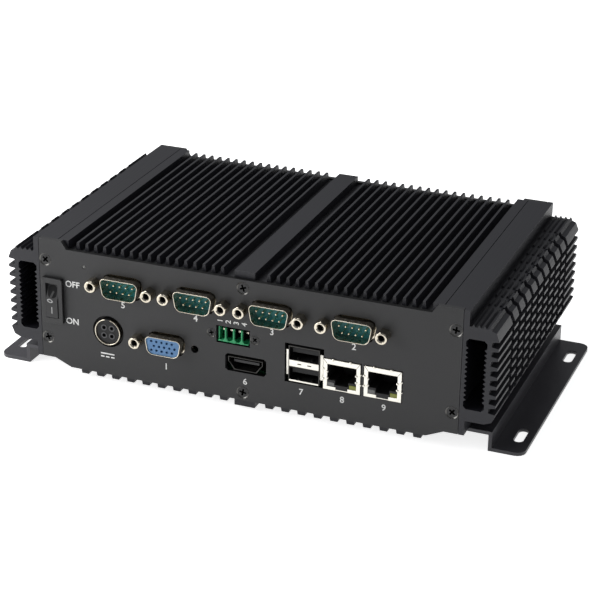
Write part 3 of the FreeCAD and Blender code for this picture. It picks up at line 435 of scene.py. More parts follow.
def facing(x, y, z, lean, turn):
    return (Matrix.Translation((x * mm, y * mm, z * mm)) @ turnBy(lean, "X")
            @ turnBy(turn, "Z") @ Matrix.Scale(mm, 4))


def onFront(x, z, y, turn=0.0):
    return facing(x, y, z, 90, turn)


def onRear(x, z, y, turn=0.0):
    return facing(x, y, z, -90, turn)


def toMesh(bm, name="part"):
    mesh = bpy.data.meshes.new(name)
    bm.to_mesh(mesh)
    bm.free()
    return mesh


def stamp(target, mesh, place):
    copy = mesh.copy()
    copy.transform(place)
    target.from_mesh(copy)
    bpy.data.meshes.remove(copy)


def stamped(mesh, *places):
    bm = bmesh.new()
    for place in places:
        stamp(bm, mesh, place)
    return bm


def moved(bm, place):
    bmesh.ops.transform(bm, verts=bm.verts[:], matrix=place)
    return bm


def centre(name):
    low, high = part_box(name)
    return (low + high) / 2 / mm


def frontOf(name):
    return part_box(name)[0].y / mm


def finishPiece(name, bm, finish, body="computer", stands=(), slotName=None, sharp=40):
    mesh = toMesh(bm, name)
    mesh.shade_smooth()
    mesh.set_sharp_from_angle(angle=math.radians(sharp))
    for each in [finish] if isinstance(finish, str) else finish:
        mesh.materials.append(materials[each])
    piece = bpy.data.objects.new(name, mesh)
    bpy.context.scene.collection.objects.link(piece)
    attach(piece, body)
    if stands:
        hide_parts(*stands)
        slotName = slotName or nodeSlot[stands[0]]
    return piece


def nodeCopy(name):
    bm = bmesh.new()
    bm.from_mesh(nodes[name].data)
    bmesh.ops.remove_doubles(bm, verts=bm.verts[:], dist=mergeGap * mm)
    return bm


def mergedCopy(name):
    # A node's surface with whole flat faces in place of triangles.
    bm = nodeCopy(name)
    bmesh.ops.dissolve_limit(bm, angle_limit=math.radians(1), verts=bm.verts[:],
                             edges=bm.edges[:])
    for face in bm.faces:
        face.material_index = 0
    return bm


def roundEdges(bm, edges, width, segments):
    bmesh.ops.bevel(bm, geom=edges, offset=width, offset_type="OFFSET", segments=segments,
                    profile=0.5, affect="EDGES", clamp_overlap=True, material=-1)


def softenEdges(bm, width, segments=2, least=30):
    roundEdges(bm, [edge for edge in bm.edges if len(edge.link_faces) == 2
                    and edge.calc_face_angle(0) > math.radians(least)], width, segments)


def roundRim(bm, width):
    # Rounds the sharp edges round the front face.
    roundEdges(bm, [edge for edge in bm.edges if edge.calc_face_angle(0) > 1
                    and all(vert.co.z > -1e-6 for vert in edge.verts)], width, 3)


def secondFinish(bm, known):
    # Gives the faces beyond the known ones the piece's second finish.
    bm.faces.ensure_lookup_table()
    for face in bm.faces[known:]:
        face.material_index = 1


def softened(source, width, segments=2):
    bm = mergedCopy(source)
    softenEdges(bm, width * mm, segments)
    return bm


def softenedPiece(name, source, finish, width, segments=2, body="computer"):
    bm = softened(source, width, segments)
    piece = finishPiece(name, bm, finish, body, (source,), sharp=60)
    weighted = piece.modifiers.new("weightedNormals", "WEIGHTED_NORMAL")
    weighted.keep_sharp = True
    return piece


def turned(profile, sides):
    # A full turn of an open profile of (radius, height) points about +Z.
    bm = bmesh.new()
    verts = [bm.verts.new((radius, 0, height)) for radius, height in profile]
    edges = [bm.edges.new(pair) for pair in zip(verts, verts[1:])]
    bmesh.ops.spin(bm, geom=verts + edges, cent=(0, 0, 0), axis=(0, 0, 1),
                   angle=2 * math.pi, steps=sides, use_merge=True)
    bmesh.ops.remove_doubles(bm, verts=bm.verts[:], dist=1e-5)
    bmesh.ops.recalc_face_normals(bm, faces=bm.faces[:])
    return bm


def faceOutwards(face):
    face.normal_update()
    if face.normal.z < 0:
        face.normal_flip()


def outlineFace(bm, corners, radius=0.0, segments=4, level=0.0):
    verts = [bm.verts.new((u, v, level)) for u, v in corners]
    face = bm.faces.new(verts)
    if radius:
        bmesh.ops.bevel(bm, geom=verts, offset=radius, offset_type="OFFSET", segments=segments,
                        profile=0.5, affect="VERTICES", material=-1)
        face = max(bm.faces, key=lambda each: each.calc_area())
    faceOutwards(face)
    return face


def newVerts(grown):
    return [item for item in grown["geom"] if isinstance(item, bmesh.types.BMVert)]


def deepened(bm, faces, depth):
    # Gives flat faces a depth behind them and closes the solid.
    grown = bmesh.ops.extrude_face_region(bm, geom=faces, use_keep_orig=True)
    bmesh.ops.translate(bm, verts=newVerts(grown), vec=(0, 0, -depth))
    bmesh.ops.recalc_face_normals(bm, faces=bm.faces[:])
    return bm


def plate(corners, depth, radius=0.0, segments=4, edge=0.0):
    bm = bmesh.new()
    deepened(bm, [outlineFace(bm, corners, radius, segments)], depth)
    if edge:
        roundRim(bm, edge)
    return bm


def loopPoints(corners, radius, segments=4):
    bm = bmesh.new()
    face = outlineFace(bm, corners, radius, segments)
    points = [(vert.co.x, vert.co.y) for vert in face.verts]
    bm.free()
    return points


def circlePoints(x, y, radius, sides=16):
    return [(x + radius * math.cos(2 * math.pi * step / sides),
             y + radius * math.sin(2 * math.pi * step / sides)) for step in range(sides)]


def perforated(outer, holes, depth, wells=0.0):
    # A plate with holes through it, or with blind wells when a well depth is given.
    bm = bmesh.new()
    rims = []
    for loop in [outer] + holes:
        verts = [bm.verts.new((u, v, 0)) for u, v in loop]
        rims.append([bm.edges.new((verts[index - 1], verts[index]))
                     for index in range(len(verts))])
    bmesh.ops.triangle_fill(bm, use_beauty=True, edges=bm.edges[:])
    for face in bm.faces:
        faceOutwards(face)
    if not wells:
        return deepened(bm, bm.faces[:], depth)
    for rim, reach in zip(rims, [depth] + [wells] * len(holes)):
        verts = newVerts(bmesh.ops.extrude_edge_only(bm, edges=rim))
        bmesh.ops.translate(bm, verts=verts, vec=(0, 0, -reach))
        ends = [edge for edge in bm.edges if edge.is_boundary
                and all(vert in set(verts) for vert in edge.verts)]
        bmesh.ops.contextual_create(bm, geom=ends)
    bmesh.ops.recalc_face_normals(bm, faces=bm.faces[:])
    return bm


def rectangle(width, height):
    return [(-width / 2, -height / 2), (width / 2, -height / 2),
            (width / 2, height / 2), (-width / 2, height / 2)]


def slab(size, depth, radius=0.0, segments=4, edge=0.0):
    return toMesh(plate(rectangle(*size), depth, radius, segments, edge))


def cube(width, height, depth):
    bm = bmesh.new()
    bmesh.ops.create_cube(bm, size=1)
    bmesh.ops.scale(bm, vec=(width, height, depth), verts=bm.verts[:])
    return bm


def bump(width, height, depth):
    bm = bmesh.new()
    bmesh.ops.create_uvsphere(bm, u_segments=12, v_segments=8, radius=0.5)
    bmesh.ops.scale(bm, vec=(width, height, depth), verts=bm.verts[:])
    return bm


frontFace = frontOf("front_panel")
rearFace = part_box("rear_panel")[1].y / mm


# Metal housing.
housing = {
    "rightSide": ("right_side_heatsink", "darkAnodised", 0.16),
    "leftSide": ("left_side_heatsink", "darkAnodised", 0.16),
    "topPlate": ("top_heatsink", "darkAnodised", 0.2),
    "bottomPlate": ("bottom_heatsink", "darkAnodised", 0.25),
    "frontPlate": ("front_panel", "panelCoat", 0.18),
    "rearPlate": ("rear_panel", "panelCoat", 0.18),
    "rightBracket": ("right_mounting_bracket", "bracketCoat", 0.25),
    "leftBracket": ("left_mounting_bracket", "bracketCoat", 0.25),
}
for pieceName, (source, finish, width) in housing.items():
    softenedPiece(pieceName, source, finish, width)
# The cut top edge of the front plate is given painted shade, darker than its face, for the dark gap
# between the plate and the fins.
topEdge = {"upward": 0.9, "reach": 80}
frontMesh = bpy.data.objects["frontPlate"].data
frontMesh.materials.append(materials["paintedShade"])
for polygon in frontMesh.polygons:
    if polygon.normal.z > topEdge["upward"] and abs(polygon.center.x) < topEdge["reach"] * mm:
        polygon.material_index = 1
print("housing softened")


# Panel and terminal screws with a cross recess.
crossScrew = {
    "armHalf": 0.42, "armReach": 1.5, "recess": 1.5, "narrow": 0.7, "sides": 32,
    "headRadius": 2.28, "sunk": 0.2, "domeRise": 0.14, "cone": 1.2, "coneShare": 0.55,
    "seat": 2.68, "seatDepth": 0.3, "seatFoot": 0.6, "seatSides": 40,
    "firstTurn": 17, "nextTurn": 31, "smallScale": 0.74,
}


def crossHead(radius, values, scale=1.0):
    a, b = values["armHalf"] * scale, values["armReach"] * scale
    bm = bmesh.new()
    bmesh.ops.create_circle(bm, cap_ends=False, radius=radius, segments=values["sides"])
    rim = bm.edges[:]
    arms = [(b, -a), (b, a), (a, a), (a, b), (-a, b), (-a, a),
            (-b, a), (-b, -a), (-a, -a), (-a, -b), (a, -b), (a, -a)]
    cross = outlineFace(bm, arms, level=values["domeRise"])
    bmesh.ops.bridge_loops(bm, edges=rim + list(cross.edges))
    deep = newVerts(bmesh.ops.extrude_face_region(bm, geom=[cross]))
    if cross.is_valid:
        bmesh.ops.delete(bm, geom=[cross], context="FACES_ONLY")
    # The recess faces take the second finish, near black: painted shade in the cross recess.
    for vert in deep:
        for face in vert.link_faces:
            face.material_index = 1
    bmesh.ops.scale(bm, vec=(values["narrow"], values["narrow"], 1), verts=deep)
    bmesh.ops.translate(bm, vec=(0, 0, -values["recess"] * scale), verts=deep)
    base = newVerts(bmesh.ops.extrude_edge_only(bm, edges=rim))
    bmesh.ops.translate(bm, vec=(0, 0, -values["cone"] * scale), verts=base)
    bmesh.ops.scale(bm, vec=(values["coneShare"], values["coneShare"], 1), verts=base)
    bmesh.ops.recalc_face_normals(bm, faces=bm.faces[:])
    return bm


def headSpots(name):
    # The centres of the separate solids in a node of like fasteners.
    bm = nodeCopy(name)
    waiting, spots = set(bm.verts), []
    while waiting:
        queue, group = [waiting.pop()], []
        while queue:
            vert = queue.pop()
            group.append(vert.co.copy())
            for edge in vert.link_edges:
                other = edge.other_vert(vert)
                if other in waiting:
                    waiting.remove(other)
                    queue.append(other)
        low = [min(point[axis] for point in group) / mm for axis in range(3)]
        high = [max(point[axis] for point in group) / mm for axis in range(3)]
        spots.append([(a + b) / 2 for a, b in zip(low, high)])
    bm.free()
    return sorted(spots)


def screwSet(name, source, place, values, scale=1.0):
    radius = values["headRadius"] * scale
    head = toMesh(crossHead(radius, values, scale))
    lift = (values["sunk"] + values["domeRise"]) * scale
    seat = toMesh(turned([(values["seat"] * scale, lift), (radius, lift - values["seatDepth"]),
                          (radius, -values["seatFoot"])], values["seatSides"]))
    heads, seats = bmesh.new(), bmesh.new()
    for index, spot in enumerate(headSpots(source)):
        stamp(heads, head, place(spot, values["firstTurn"] + values["nextTurn"] * index, lift))
        stamp(seats, seat, place(spot, 0, lift))
    finishPiece(name + "Seats", seats, "bareSeat", slotName="dark_screw")
    finishPiece(name, heads, ("blackScrew", "recessPaintedShade"), stands=(source,))


def frontSeat(spot, turn, lift):
    return onFront(spot[0], spot[2], frontFace + lift, turn)


def rearSeat(spot, turn, lift):
    return onRear(spot[0], spot[2], rearFace - lift, turn)


screwSet("frontPanelScrews", "front_panel_screws", frontSeat, crossScrew)
screwSet("rearPanelScrews", "rear_panel_screws", rearSeat, crossScrew)
screwSet("terminalScrews", "terminal_screws", frontSeat, crossScrew, crossScrew["smallScale"])
print("panel screws cut")


# Lock screws beside the D-shaped ports.
lockScrew = {
    "flats": 4.75, "length": 5.0, "chamfer": 0.55, "mouth": 1.6, "mouthDepth": 0.45,
    "bore": 1.3, "boreEnd": 0.6, "thread": 0.22, "pitch": 0.7, "turns": 6, "edge": 0.12,
    "crown": (0.94, 1.02), "corner": 1.155, "sides": 24, "firstTurn": 11, "nextTurn": 23,
}


def lockScrewHead(values):
    half, edge = values["flats"] / 2, values["edge"]
    profile = [(0, -values["pitch"] * values["turns"] - values["boreEnd"])]
    for step in range(values["turns"], 0, -1):
        level = -values["pitch"] * step
        profile += [(values["bore"], level - values["pitch"] / 2 + 0.1),
                    (values["bore"] - values["thread"], level)]
    inner, outer = values["crown"]
    profile += [(values["bore"], -values["mouthDepth"]), (values["mouth"], -edge),
                (values["mouth"] + edge, 0), (half * inner, 0), (half * outer, -edge),
                (half * values["corner"], -values["chamfer"]),
                (half * values["corner"], -values["length"])]
    bm = turned(profile, values["sides"])
    # The bore's faces get the second finish, a darker plate: painted shade in the bore.
    for face in bm.faces:
        spot = face.calc_center_median()
        if spot.z < -0.3 and math.hypot(spot.x, spot.y) < values["bore"] + 0.2:
            face.material_index = 1
    # The round head is cut back to its six flats.
    reach = math.pi / 6
    for vert in bm.verts:
        away = math.hypot(vert.co.x, vert.co.y)
        if away > half * 1.01:
            angle = math.atan2(vert.co.y, vert.co.x) % (2 * reach) - reach
            limit = half / math.cos(angle)
            if away > limit:
                vert.co.x *= limit / away
                vert.co.y *= limit / away
    return bm


def lockScrewSet(name, source, values):
    bm = stamped(toMesh(lockScrewHead(values)), *[
        onFront(spot[0], spot[2], frontOf(source), values["firstTurn"] + values["nextTurn"] * index)
        for index, spot in enumerate(headSpots(source))])
    finishPiece(name, bm, ("nickel", "darkPlate"), stands=(source,))


lockScrewSet("serialLockScrews", "serial_jackscrews", lockScrew)
lockScrewSet("videoLockScrew", "video_jackscrew", lockScrew)
print("lock screws turned")


# D-shaped port shells, inserts and pins.
dPort = {
    "serialSize": (17.4, 8.6), "videoSize": (16.3, 7.9), "slope": 10.0, "corner": 2.4,
    "wall": 0.32, "lip": 0.14, "flange": (30.8, 12.0), "flangeDepth": 0.8, "panel": 2.0,
    "stand": 4.1, "overlap": 0.2, "spring": (1.6, 0.5, 0.8), "springSpots": (-2.7, 0.0, 2.7),
    "springSunk": 0.12, "springLevel": -1.9, "lockSpread": 12.495, "lockHole": 1.6,
    "insertGap": 0.04, "insertDepth": 7.0,
    "boss": [(0, 0.25), (0.72, 0.25), (0.88, 0.05), (0.88, -0.3)],
    "pinPitch": 2.77, "pinRow": 1.42, "pinRadius": 0.42, "pinTip": 0.8, "pinLength": 4.7,
    "holePitch": 2.29, "holeRow": 1.98, "holeRadius": 0.55, "wellDepth": 2.5,
    "videoDepth": 9.0,
}


def dCorners(size, grow=0.0):
    width, height = size
    lean = math.tan(math.radians(dPort["slope"])) * height / 2
    half, rise = width / 2 + grow, height / 2 + grow
    return [(-half + 2 * lean, -rise), (half - 2 * lean, -rise), (half, rise), (-half, rise)]


def dShell(size, values):
    outer = loopPoints(dCorners(size), values["corner"], 6)
    inner = loopPoints(dCorners(size, -values["wall"]), values["corner"] - values["wall"], 6)
    bm = perforated(outer, [inner], values["stand"] + values["panel"] + values["overlap"])
    roundRim(bm, values["lip"])
    holes = [circlePoints(side * values["lockSpread"], 0, values["lockHole"], 20)
             for side in (-1, 1)]
    flange = toMesh(perforated(loopPoints(rectangle(*values["flange"]), 1.0, 4),
                               [inner] + holes, values["flangeDepth"]))
    stamp(bm, flange, Matrix.Translation((0, 0, -values["stand"] - values["panel"])))
    spring = toMesh(bump(*values["spring"]))
    # The springs inside the shell get the second finish, a darker plate: painted shade inside the
    # shell.
    known = len(bm.faces)
    for spot in values["springSpots"]:
        stamp(bm, spring, Matrix.Translation((spot, size[1] / 2 - values["springSunk"],
                                              values["springLevel"])) @ turnBy(-90, "X"))
    secondFinish(bm, known)
    return bm


def insertCorners(size, values):
    return dCorners(size, -values["wall"] - values["insertGap"])


def serialInsert(values):
    bm = plate(insertCorners(values["serialSize"], values), values["insertDepth"],
               values["corner"] - values["wall"], 6)
    boss = toMesh(turned(values["boss"], 14))
    for x, y in pinSpots(values):
        stamp(bm, boss, Matrix.Translation((x, y, 0)))
    return bm


def pinSpots(values):
    pitch, row = values["pinPitch"], values["pinRow"]
    return ([((step - 2) * pitch, row) for step in range(5)]
            + [((step - 1.5) * pitch, -row) for step in range(4)])


def roundPin(values):
    radius, tip = values["pinRadius"], values["pinTip"]
    return turned([(0, 0), (radius * 0.45, -0.06), (radius * 0.85, -tip * 0.4),
                   (radius, -tip), (radius, -values["pinLength"])], 12)


def videoInsert(values):
    outer = loopPoints(insertCorners(values["videoSize"], values),
                       values["corner"] - values["wall"], 6)
    pitch, row, holes = values["holePitch"], values["holeRow"], []
    for line, offset in ((1, -0.25), (0, 0.25), (-1, -0.25)):
        holes += [circlePoints((step - 2 + offset) * pitch, line * row, values["holeRadius"], 14)
                  for step in range(5)]
    return perforated(outer, holes, values["videoDepth"], wells=values["wellDepth"])


shellMesh = toMesh(dShell(dPort["serialSize"], dPort))
insertMesh = toMesh(serialInsert(dPort))
pinPlaces = []
serialRise = centre("serial_jackscrews").z
for tag in "1234":
    shellName, insertName = "serial_port_%s_shell" % tag, "serial_port_%s_insert" % tag
    x = centre(shellName).x
    shell = stamped(shellMesh, onFront(x, serialRise, frontOf(shellName)))
    finishPiece("serialShell" + tag, shell, ("nickel", "darkPlate"), stands=(shellName,))
    insert = stamped(insertMesh, onFront(x, serialRise, frontOf(insertName)))
    finishPiece("serialInsert" + tag, insert, "greenInsert", stands=(insertName,))
    pinPlaces += [onFront(x + u, serialRise + v, frontOf("serial_pins"))
                  for u, v in pinSpots(dPort)]
finishPiece("serialPins", stamped(toMesh(roundPin(dPort)), *pinPlaces), "contactGold",
            stands=("serial_pins",))
videoSpot = centre("video_shell")
for pieceName, source, made, finish in (
        ("videoShell", "video_shell", dShell(dPort["videoSize"], dPort), ("nickel", "darkPlate")),
        ("videoInsert", "video_insert", videoInsert(dPort), "blueInsert")):
    place = onFront(videoSpot.x, videoSpot.z, frontOf(source))
    finishPiece(pieceName, moved(made, place), finish, stands=(source,))
print("D-shaped ports made")


# Round power inlet.
powerInlet = {
    "ringRadius": 5.75, "ringWall": 0.45, "ringDepth": 3, "lip": 0.18,
    "coreRadius": 5.2, "coreLevel": -0.75, "coreDepth": 4.0, "contactSpread": 1.75,
    "contactRadius": 0.85, "wellDepth": 2.4, "collar": 1.3, "collarRise": 0.2,
    "keyWidth": 1.5, "keyDrop": 1.3, "keyRise": 0.06, "keyDepth": 3.0, "sides": 48,
    "caseGap": 0.02, "caseEdge": 0.3,
}


def powerRing(values):
    outer, wall, lip = values["ringRadius"], values["ringWall"], values["lip"]
    inner, deep = outer - wall, -values["ringDepth"]
    profile = [(inner, deep), (inner, -lip), (inner + lip * 0.4, -lip * 0.3), (inner + lip, 0),
               (outer - lip, 0), (outer - lip * 0.4, -lip * 0.3), (outer, -lip), (outer, deep),
               (inner, deep)]
    return turned(profile, values["sides"])


def powerCore(values):
    spread, hole, rise = values["contactSpread"], values["contactRadius"], values["collarRise"]
    spots = [(spread * u, spread * v) for u in (-1, 1) for v in (-1, 1)]
    bm = perforated(circlePoints(0, 0, values["coreRadius"], values["sides"]),
                    [circlePoints(u, v, hole, 16) for u, v in spots], values["coreDepth"],
                    wells=values["wellDepth"])
    collar = toMesh(turned([(hole, -rise), (hole, rise), (values["collar"], rise),
                            (values["collar"], -rise)], 16))
    known = len(bm.faces)
    for u, v in spots:
        stamp(bm, collar, Matrix.Translation((u, v, 0)))
    secondFinish(bm, known)
    width, drop, reach = values["keyWidth"] / 2, values["keyDrop"], values["ringRadius"] + 0.05
    key = toMesh(plate([(-width * 1.5, reach), (-width, reach - drop), (width, reach - drop),
                        (width * 1.5, reach)], values["keyDepth"]))
    stamp(bm, key, Matrix.Translation((0, 0, values["keyRise"] - values["coreLevel"])))
    return bm


def powerCase(values):
    low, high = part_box("power_jack_body")
    front, back = frontFace + dPort["panel"] + values["caseGap"], high.y / mm
    middle = centre("power_jack_body")
    bm = moved(cube((high.x - low.x) / mm, back - front, (high.z - low.z) / mm),
               Matrix.Translation((middle.x, (front + back) / 2, middle.z)))
    softenEdges(bm, values["caseEdge"])
    return moved(bm, Matrix.Scale(mm, 4))


powerSpot = centre("power_jack_ring")
ringFace = frontOf("power_jack_ring")
ring = moved(powerRing(powerInlet), onFront(powerSpot.x, powerSpot.z, ringFace))
finishPiece("powerRing", ring, "nickel", stands=("power_jack_ring",))
case = powerCase(powerInlet)
stamp(case, toMesh(powerCore(powerInlet)),
      onFront(powerSpot.x, powerSpot.z, ringFace - powerInlet["coreLevel"]))
finishPiece("powerInletCase", case, ("deepPlastic", "softGrey"), stands=("power_jack_body",))
print("power inlet made")


# Pluggable terminal header.
terminal = {
    "pitch": 3.5, "ribHalf": 0.34, "footHalf": 1.0, "footRise": 0.9, "footNeck": 0.75,
    "ribShift": 0.3, "height": 6.0, "depth": 0.9, "level": -0.1, "sill": 0.5,
    "sillWidth": 13.2, "sillDepth": 5.5, "sillLevel": 0.05, "coreBack": 2.4, "pinBack": 2.8,
    "wall": 0.55, "wallDepth": 4.0, "wallLevel": 0.8,
}


def terminalRib(values):
    half, foot, rise = values["ribHalf"], values["footHalf"], values["height"] / 2
    low = -rise + values["footNeck"]
    corners = [(-foot, -rise), (foot, -rise), (foot, low), (half, low + values["footRise"]),
               (half, rise), (-half, rise), (-half, low + values["footRise"]), (-foot, low)]
    return plate(corners, values["depth"], edge=0.12)


def pushedBack(source, back, edge):
    # A softened copy whose front stands further back than the solid's own.
    bm = mergedCopy(source)
    for vert in bm.verts:
        vert.co.y = max(vert.co.y, (frontFace + back) * mm)
    softenEdges(bm, edge * mm)
    return bm


def terminalRibs(values):
    pinX, middle = centre("terminal_pins").x, centre("terminal_screws")
    bm = bmesh.new()
    rib = toMesh(terminalRib(values))
    for step in range(1, 4):
        stamp(bm, rib, onFront(pinX + (step - 2) * values["pitch"] + values["ribShift"],
                               middle.z, frontFace + values["level"]))
    wall = slab((values["wall"], values["height"]), values["wallDepth"], edge=0.1)
    stamp(bm, wall, onFront(middle.x - (values["sillWidth"] - values["wall"]) / 2,
                            middle.z, frontFace + values["wallLevel"]))
    sill = slab((values["sillWidth"], values["sill"]), values["sillDepth"], edge=0.15)
    stamp(bm, sill, onFront(middle.x, middle.z - (values["height"] - values["sill"]) / 2,
                            frontFace + values["sillLevel"]))
    return bm


# The header's body is a darker copy of its green: painted shade in the cells behind the ribs, sill
# and wall.
finishPiece("terminalCore", pushedBack("terminal_header", terminal["coreBack"], 0.12),
            "greenShade", stands=("terminal_header",))
finishPiece("terminalRibs", terminalRibs(terminal), "greenPlastic", slotName="green_plastic")
finishPiece("terminalPins", pushedBack("terminal_pins", terminal["pinBack"], 0.15),
            "nickel", stands=("terminal_pins",))
print("terminal header made")


# Digital video port and stacked data ports.
softenedPiece("digitalVideoShell", "digital_video_shell", "darkPlate", 0.1)
softenedPiece("digitalVideoInsert", "digital_video_insert", "blackPlastic", 0.12)
dataPorts = {
    "cellOffset": 4.4, "cellHeight": 5.7, "spring": (1.5, 0.7, 2.2),
    "springSpots": (-2.9, 2.9), "springDepth": 2.2, "shadeDepth": 0.5, "earStart": 6.75,
    "band": (12.5, 2.7), "bandRise": 0.2, "sill": (12.4, 0.7), "stripDepth": 0.3,
    "proud": 0.1, "mark": (1.7, 0.45), "markSpots": (-1.9, 2.3), "markProud": 0.13,
    "contact": (1.0, 0.12), "contactPitch": 2.2, "contactDrop": 0.1, "contactDepth": 2.4,
    "contactLength": 8.0,
}
dataSpot = centre("data_port_insert")
dataFace = frontOf("data_port_shell")


def dataShell(values):
    bm = softened("data_port_shell", 0.12)
    spring = toMesh(bump(*values["spring"]))
    for side in (-1, 1):
        cell = dataSpot.z + side * values["cellOffset"]
        for reach in values["springSpots"]:
            for edge in (-1, 1):
                stamp(bm, spring, onFront(dataSpot.x + reach,
                                          cell + edge * (values["cellHeight"] / 2 - 0.1),
                                          dataFace + values["springDepth"]))
    # Faces deep in the cells get near-black plastic, and the rest of the shell between the ears a
    # darker plate, both painted shade; the ears keep the bright plating.
    low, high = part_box("data_port_insert")
    for face in bm.faces:
        spot = face.calc_center_median() / mm
        deep = spot.y > dataFace + values["shadeDepth"]
        if abs(spot.x - dataSpot.x) < values["earStart"]:
            face.material_index = 1 if low.x / mm < spot.x < high.x / mm and deep else 2
    sillDrop = values["cellOffset"] + values["cellHeight"] / 2 + 0.1
    for size, rise in ((values["band"], values["bandRise"]), (values["sill"], -sillDrop)):
        stamp(bm, slab(size, values["stripDepth"], edge=0.1),
              onFront(dataSpot.x, dataSpot.z + rise, dataFace - values["proud"]))
    return bm


def dataShadeMarks(values):
    # Small dark plates on the band between the ports, painted shade for its openings.
    return stamped(slab(values["mark"], 0.06, 0.2, 3), *[
        onFront(dataSpot.x + spot, dataSpot.z + values["bandRise"], dataFace - values["markProud"])
        for spot in values["markSpots"]])


def dataContacts(values):
    return stamped(slab(values["contact"], values["contactLength"]), *[
        onFront(dataSpot.x + (step - 1.5) * values["contactPitch"],
                dataSpot.z + side * values["cellOffset"] - values["contactDrop"],
                dataFace + values["contactDepth"]) for side in (-1, 1) for step in range(4)])


finishPiece("dataPortShell", dataShell(dataPorts), ("tinPlate", "deepPlastic", "darkPlate"),
            stands=("data_port_shell",))
finishPiece("dataPortShadeMarks", dataShadeMarks(dataPorts), "deepPlastic", slotName="black_plastic")
softenedPiece("dataPortTongues", "data_port_insert", "deepPlastic", 0.12)
finishPiece("dataPortContacts", dataContacts(dataPorts), "contactGold",
            slotName="contact_metal")


# Network ports.
network = {
    "width": 15.5, "height": 13.2, "side": 1.65, "top": 2.1, "sill": 1.5, "notch": 5.0,
    "depth": 0.4, "proud": 0.15, "bumps": (
        (-3.6, 6.5), (3.6, 6.5), (-7.7, 2.2), (-7.7, -2.2), (7.7, 2.2), (7.7, -2.2),
        (-6.15, 1.2), (-6.15, -1.6), (6.15, 1.2), (6.15, -1.6)),
    "bump": (1.3, 1.2, 1.0), "bumpSunk": 0.1, "wires": 8, "wirePitch": 1.02,
    "wire": (0.32, 0.2, 7.5), "wireLean": -24, "wireRise": 2.6, "wireDepth": 6.4,
    "light": (3.0, 1.8), "lightSpot": 4.6, "lightDepth": 2.6,
    "seam": (0.16, 2.6), "seamSpot": (6.95, 5.7), "seamProud": 0.17, "seamTurn": 38,
}
networkShells = ("network_port_1_shell", "network_port_2_shell")


def networkFrame(values):
    half, rise = values["width"] / 2, values["height"] / 2
    inner, notch = half - values["side"], values["notch"] / 2
    top, sill = rise - values["top"], -rise + values["sill"]
    corners = [(-half, -rise), (-notch, -rise), (-notch, sill), (-inner, sill), (-inner, top),
               (inner, top), (inner, sill), (notch, sill), (notch, -rise), (half, -rise),
               (half, rise), (-half, rise)]
    bm = plate(corners, values["depth"], edge=0.12)
    knob = toMesh(bump(*values["bump"]))
    for u, v in values["bumps"]:
        stamp(bm, knob, Matrix.Translation((u, v, -values["bumpSunk"])))
    return bm


def networkWire(values):
    bm = cube(*values["wire"])
    moved(bm, turnBy(values["wireLean"], "X"))
    roundEdges(bm, bm.edges[:], 0.05, 2)
    return toMesh(bm)


def onNetworkPorts(mesh, spots):
    # The same spots (across, up, inwards, turn) on both ports.
    return stamped(mesh, *[
        onFront(centre(name).x + u, centre(name).z + v, frontOf(name) + depth, turn)
        for name in networkShells for u, v, depth, turn in spots])


def networkWires(values):
    first = -(values["wires"] - 1) / 2
    return onNetworkPorts(networkWire(values), [
        ((first + step) * values["wirePitch"], values["wireRise"], values["wireDepth"], 0)
        for step in range(values["wires"])])


def networkSeams(values):
    u, v = values["seamSpot"]
    return onNetworkPorts(slab(values["seam"], 0.3), [
        (side * u, v, -values["seamProud"], -side * values["seamTurn"]) for side in (-1, 1)])


def networkLights(side, values):
    lens = slab(values["light"], values["lightDepth"], 0.25, 3, edge=0.2)
    port, light = networkShells[0], "network_indicators"
    return onNetworkPorts(lens, [(side * values["lightSpot"], centre(light).z - centre(port).z,
                                  frontOf(light) - frontOf(port), 0)])


for tag, source in zip("12", networkShells):
    spot = centre(source)
    shell = softened(source, 0.08)
    stamp(shell, toMesh(networkFrame(network)),
          onFront(spot.x, spot.z, frontOf(source) - network["proud"]))
    finishPiece("networkShell" + tag, shell, "tinPlate", stands=(source,))
    softenedPiece("networkInsert" + tag, "network_port_%s_insert" % tag, "deepPlastic", 0.12)
finishPiece("networkWires", networkWires(network), "contactGold", slotName="contact_metal")
finishPiece("networkSeams", networkSeams(network), "deepPlastic", slotName="black_plastic")
finishPiece("networkLightsLeft", networkLights(-1, network), "greyLamp",
            slotName="link_lamp_plastic")
finishPiece("networkLightsRight", networkLights(1, network), "limeLamp",
            stands=("network_indicators",), slotName="link_lamp_plastic")
print("data, video and network ports made")


# Rocker switch and lamp.
rockerSwitch = {
    "pivotY": -58.0, "pivotZ": 35.0, "ridge": 3.2, "tilt": 10.0, "proud": 0.03,
    "ringWidth": 2.7, "ringHeight": 1.7, "stroke": 0.4, "ringSides": 32,
    "ringDrop": 0.5, "ringShift": -0.75, "ringTurn": -14.0,
    "bar": (0.45, 3.0), "barDrop": 4.6, "markDepth": 0.06,
    "hollow": (4.0, 5.6), "hollowRise": 3.6, "hollowDepth": 0.3,
    "tongue": (0.9, 3.2), "tongueDrop": 1.2, "tongueTurn": -22, "tongueProud": 0.05,
}
panelLamp = {
    "profile": [(0, 0.2), (0.25, 0.17), (0.42, 0.05), (0.5, -0.15), (0.78, -0.3), (0.78, -4),
                (1.4, -4), (1.4, -5), (0, -5)],
    "sides": 20,
}
softenedPiece("rockerBezel", "rocker_housing", "blackPlastic", 0.22, 3)
softenedPiece("rockerKey", "rocker", "blackPlastic", 0.2, 3, body="power_rocker")


def rockerRidge(values):
    # The ridge between the two halves of the rocker, at rest.
    tilt = math.radians(values["tilt"])
    return (centre("rocker").x, values["pivotY"] - values["ridge"] * math.cos(tilt),
            values["pivotZ"] + values["ridge"] * math.sin(tilt))


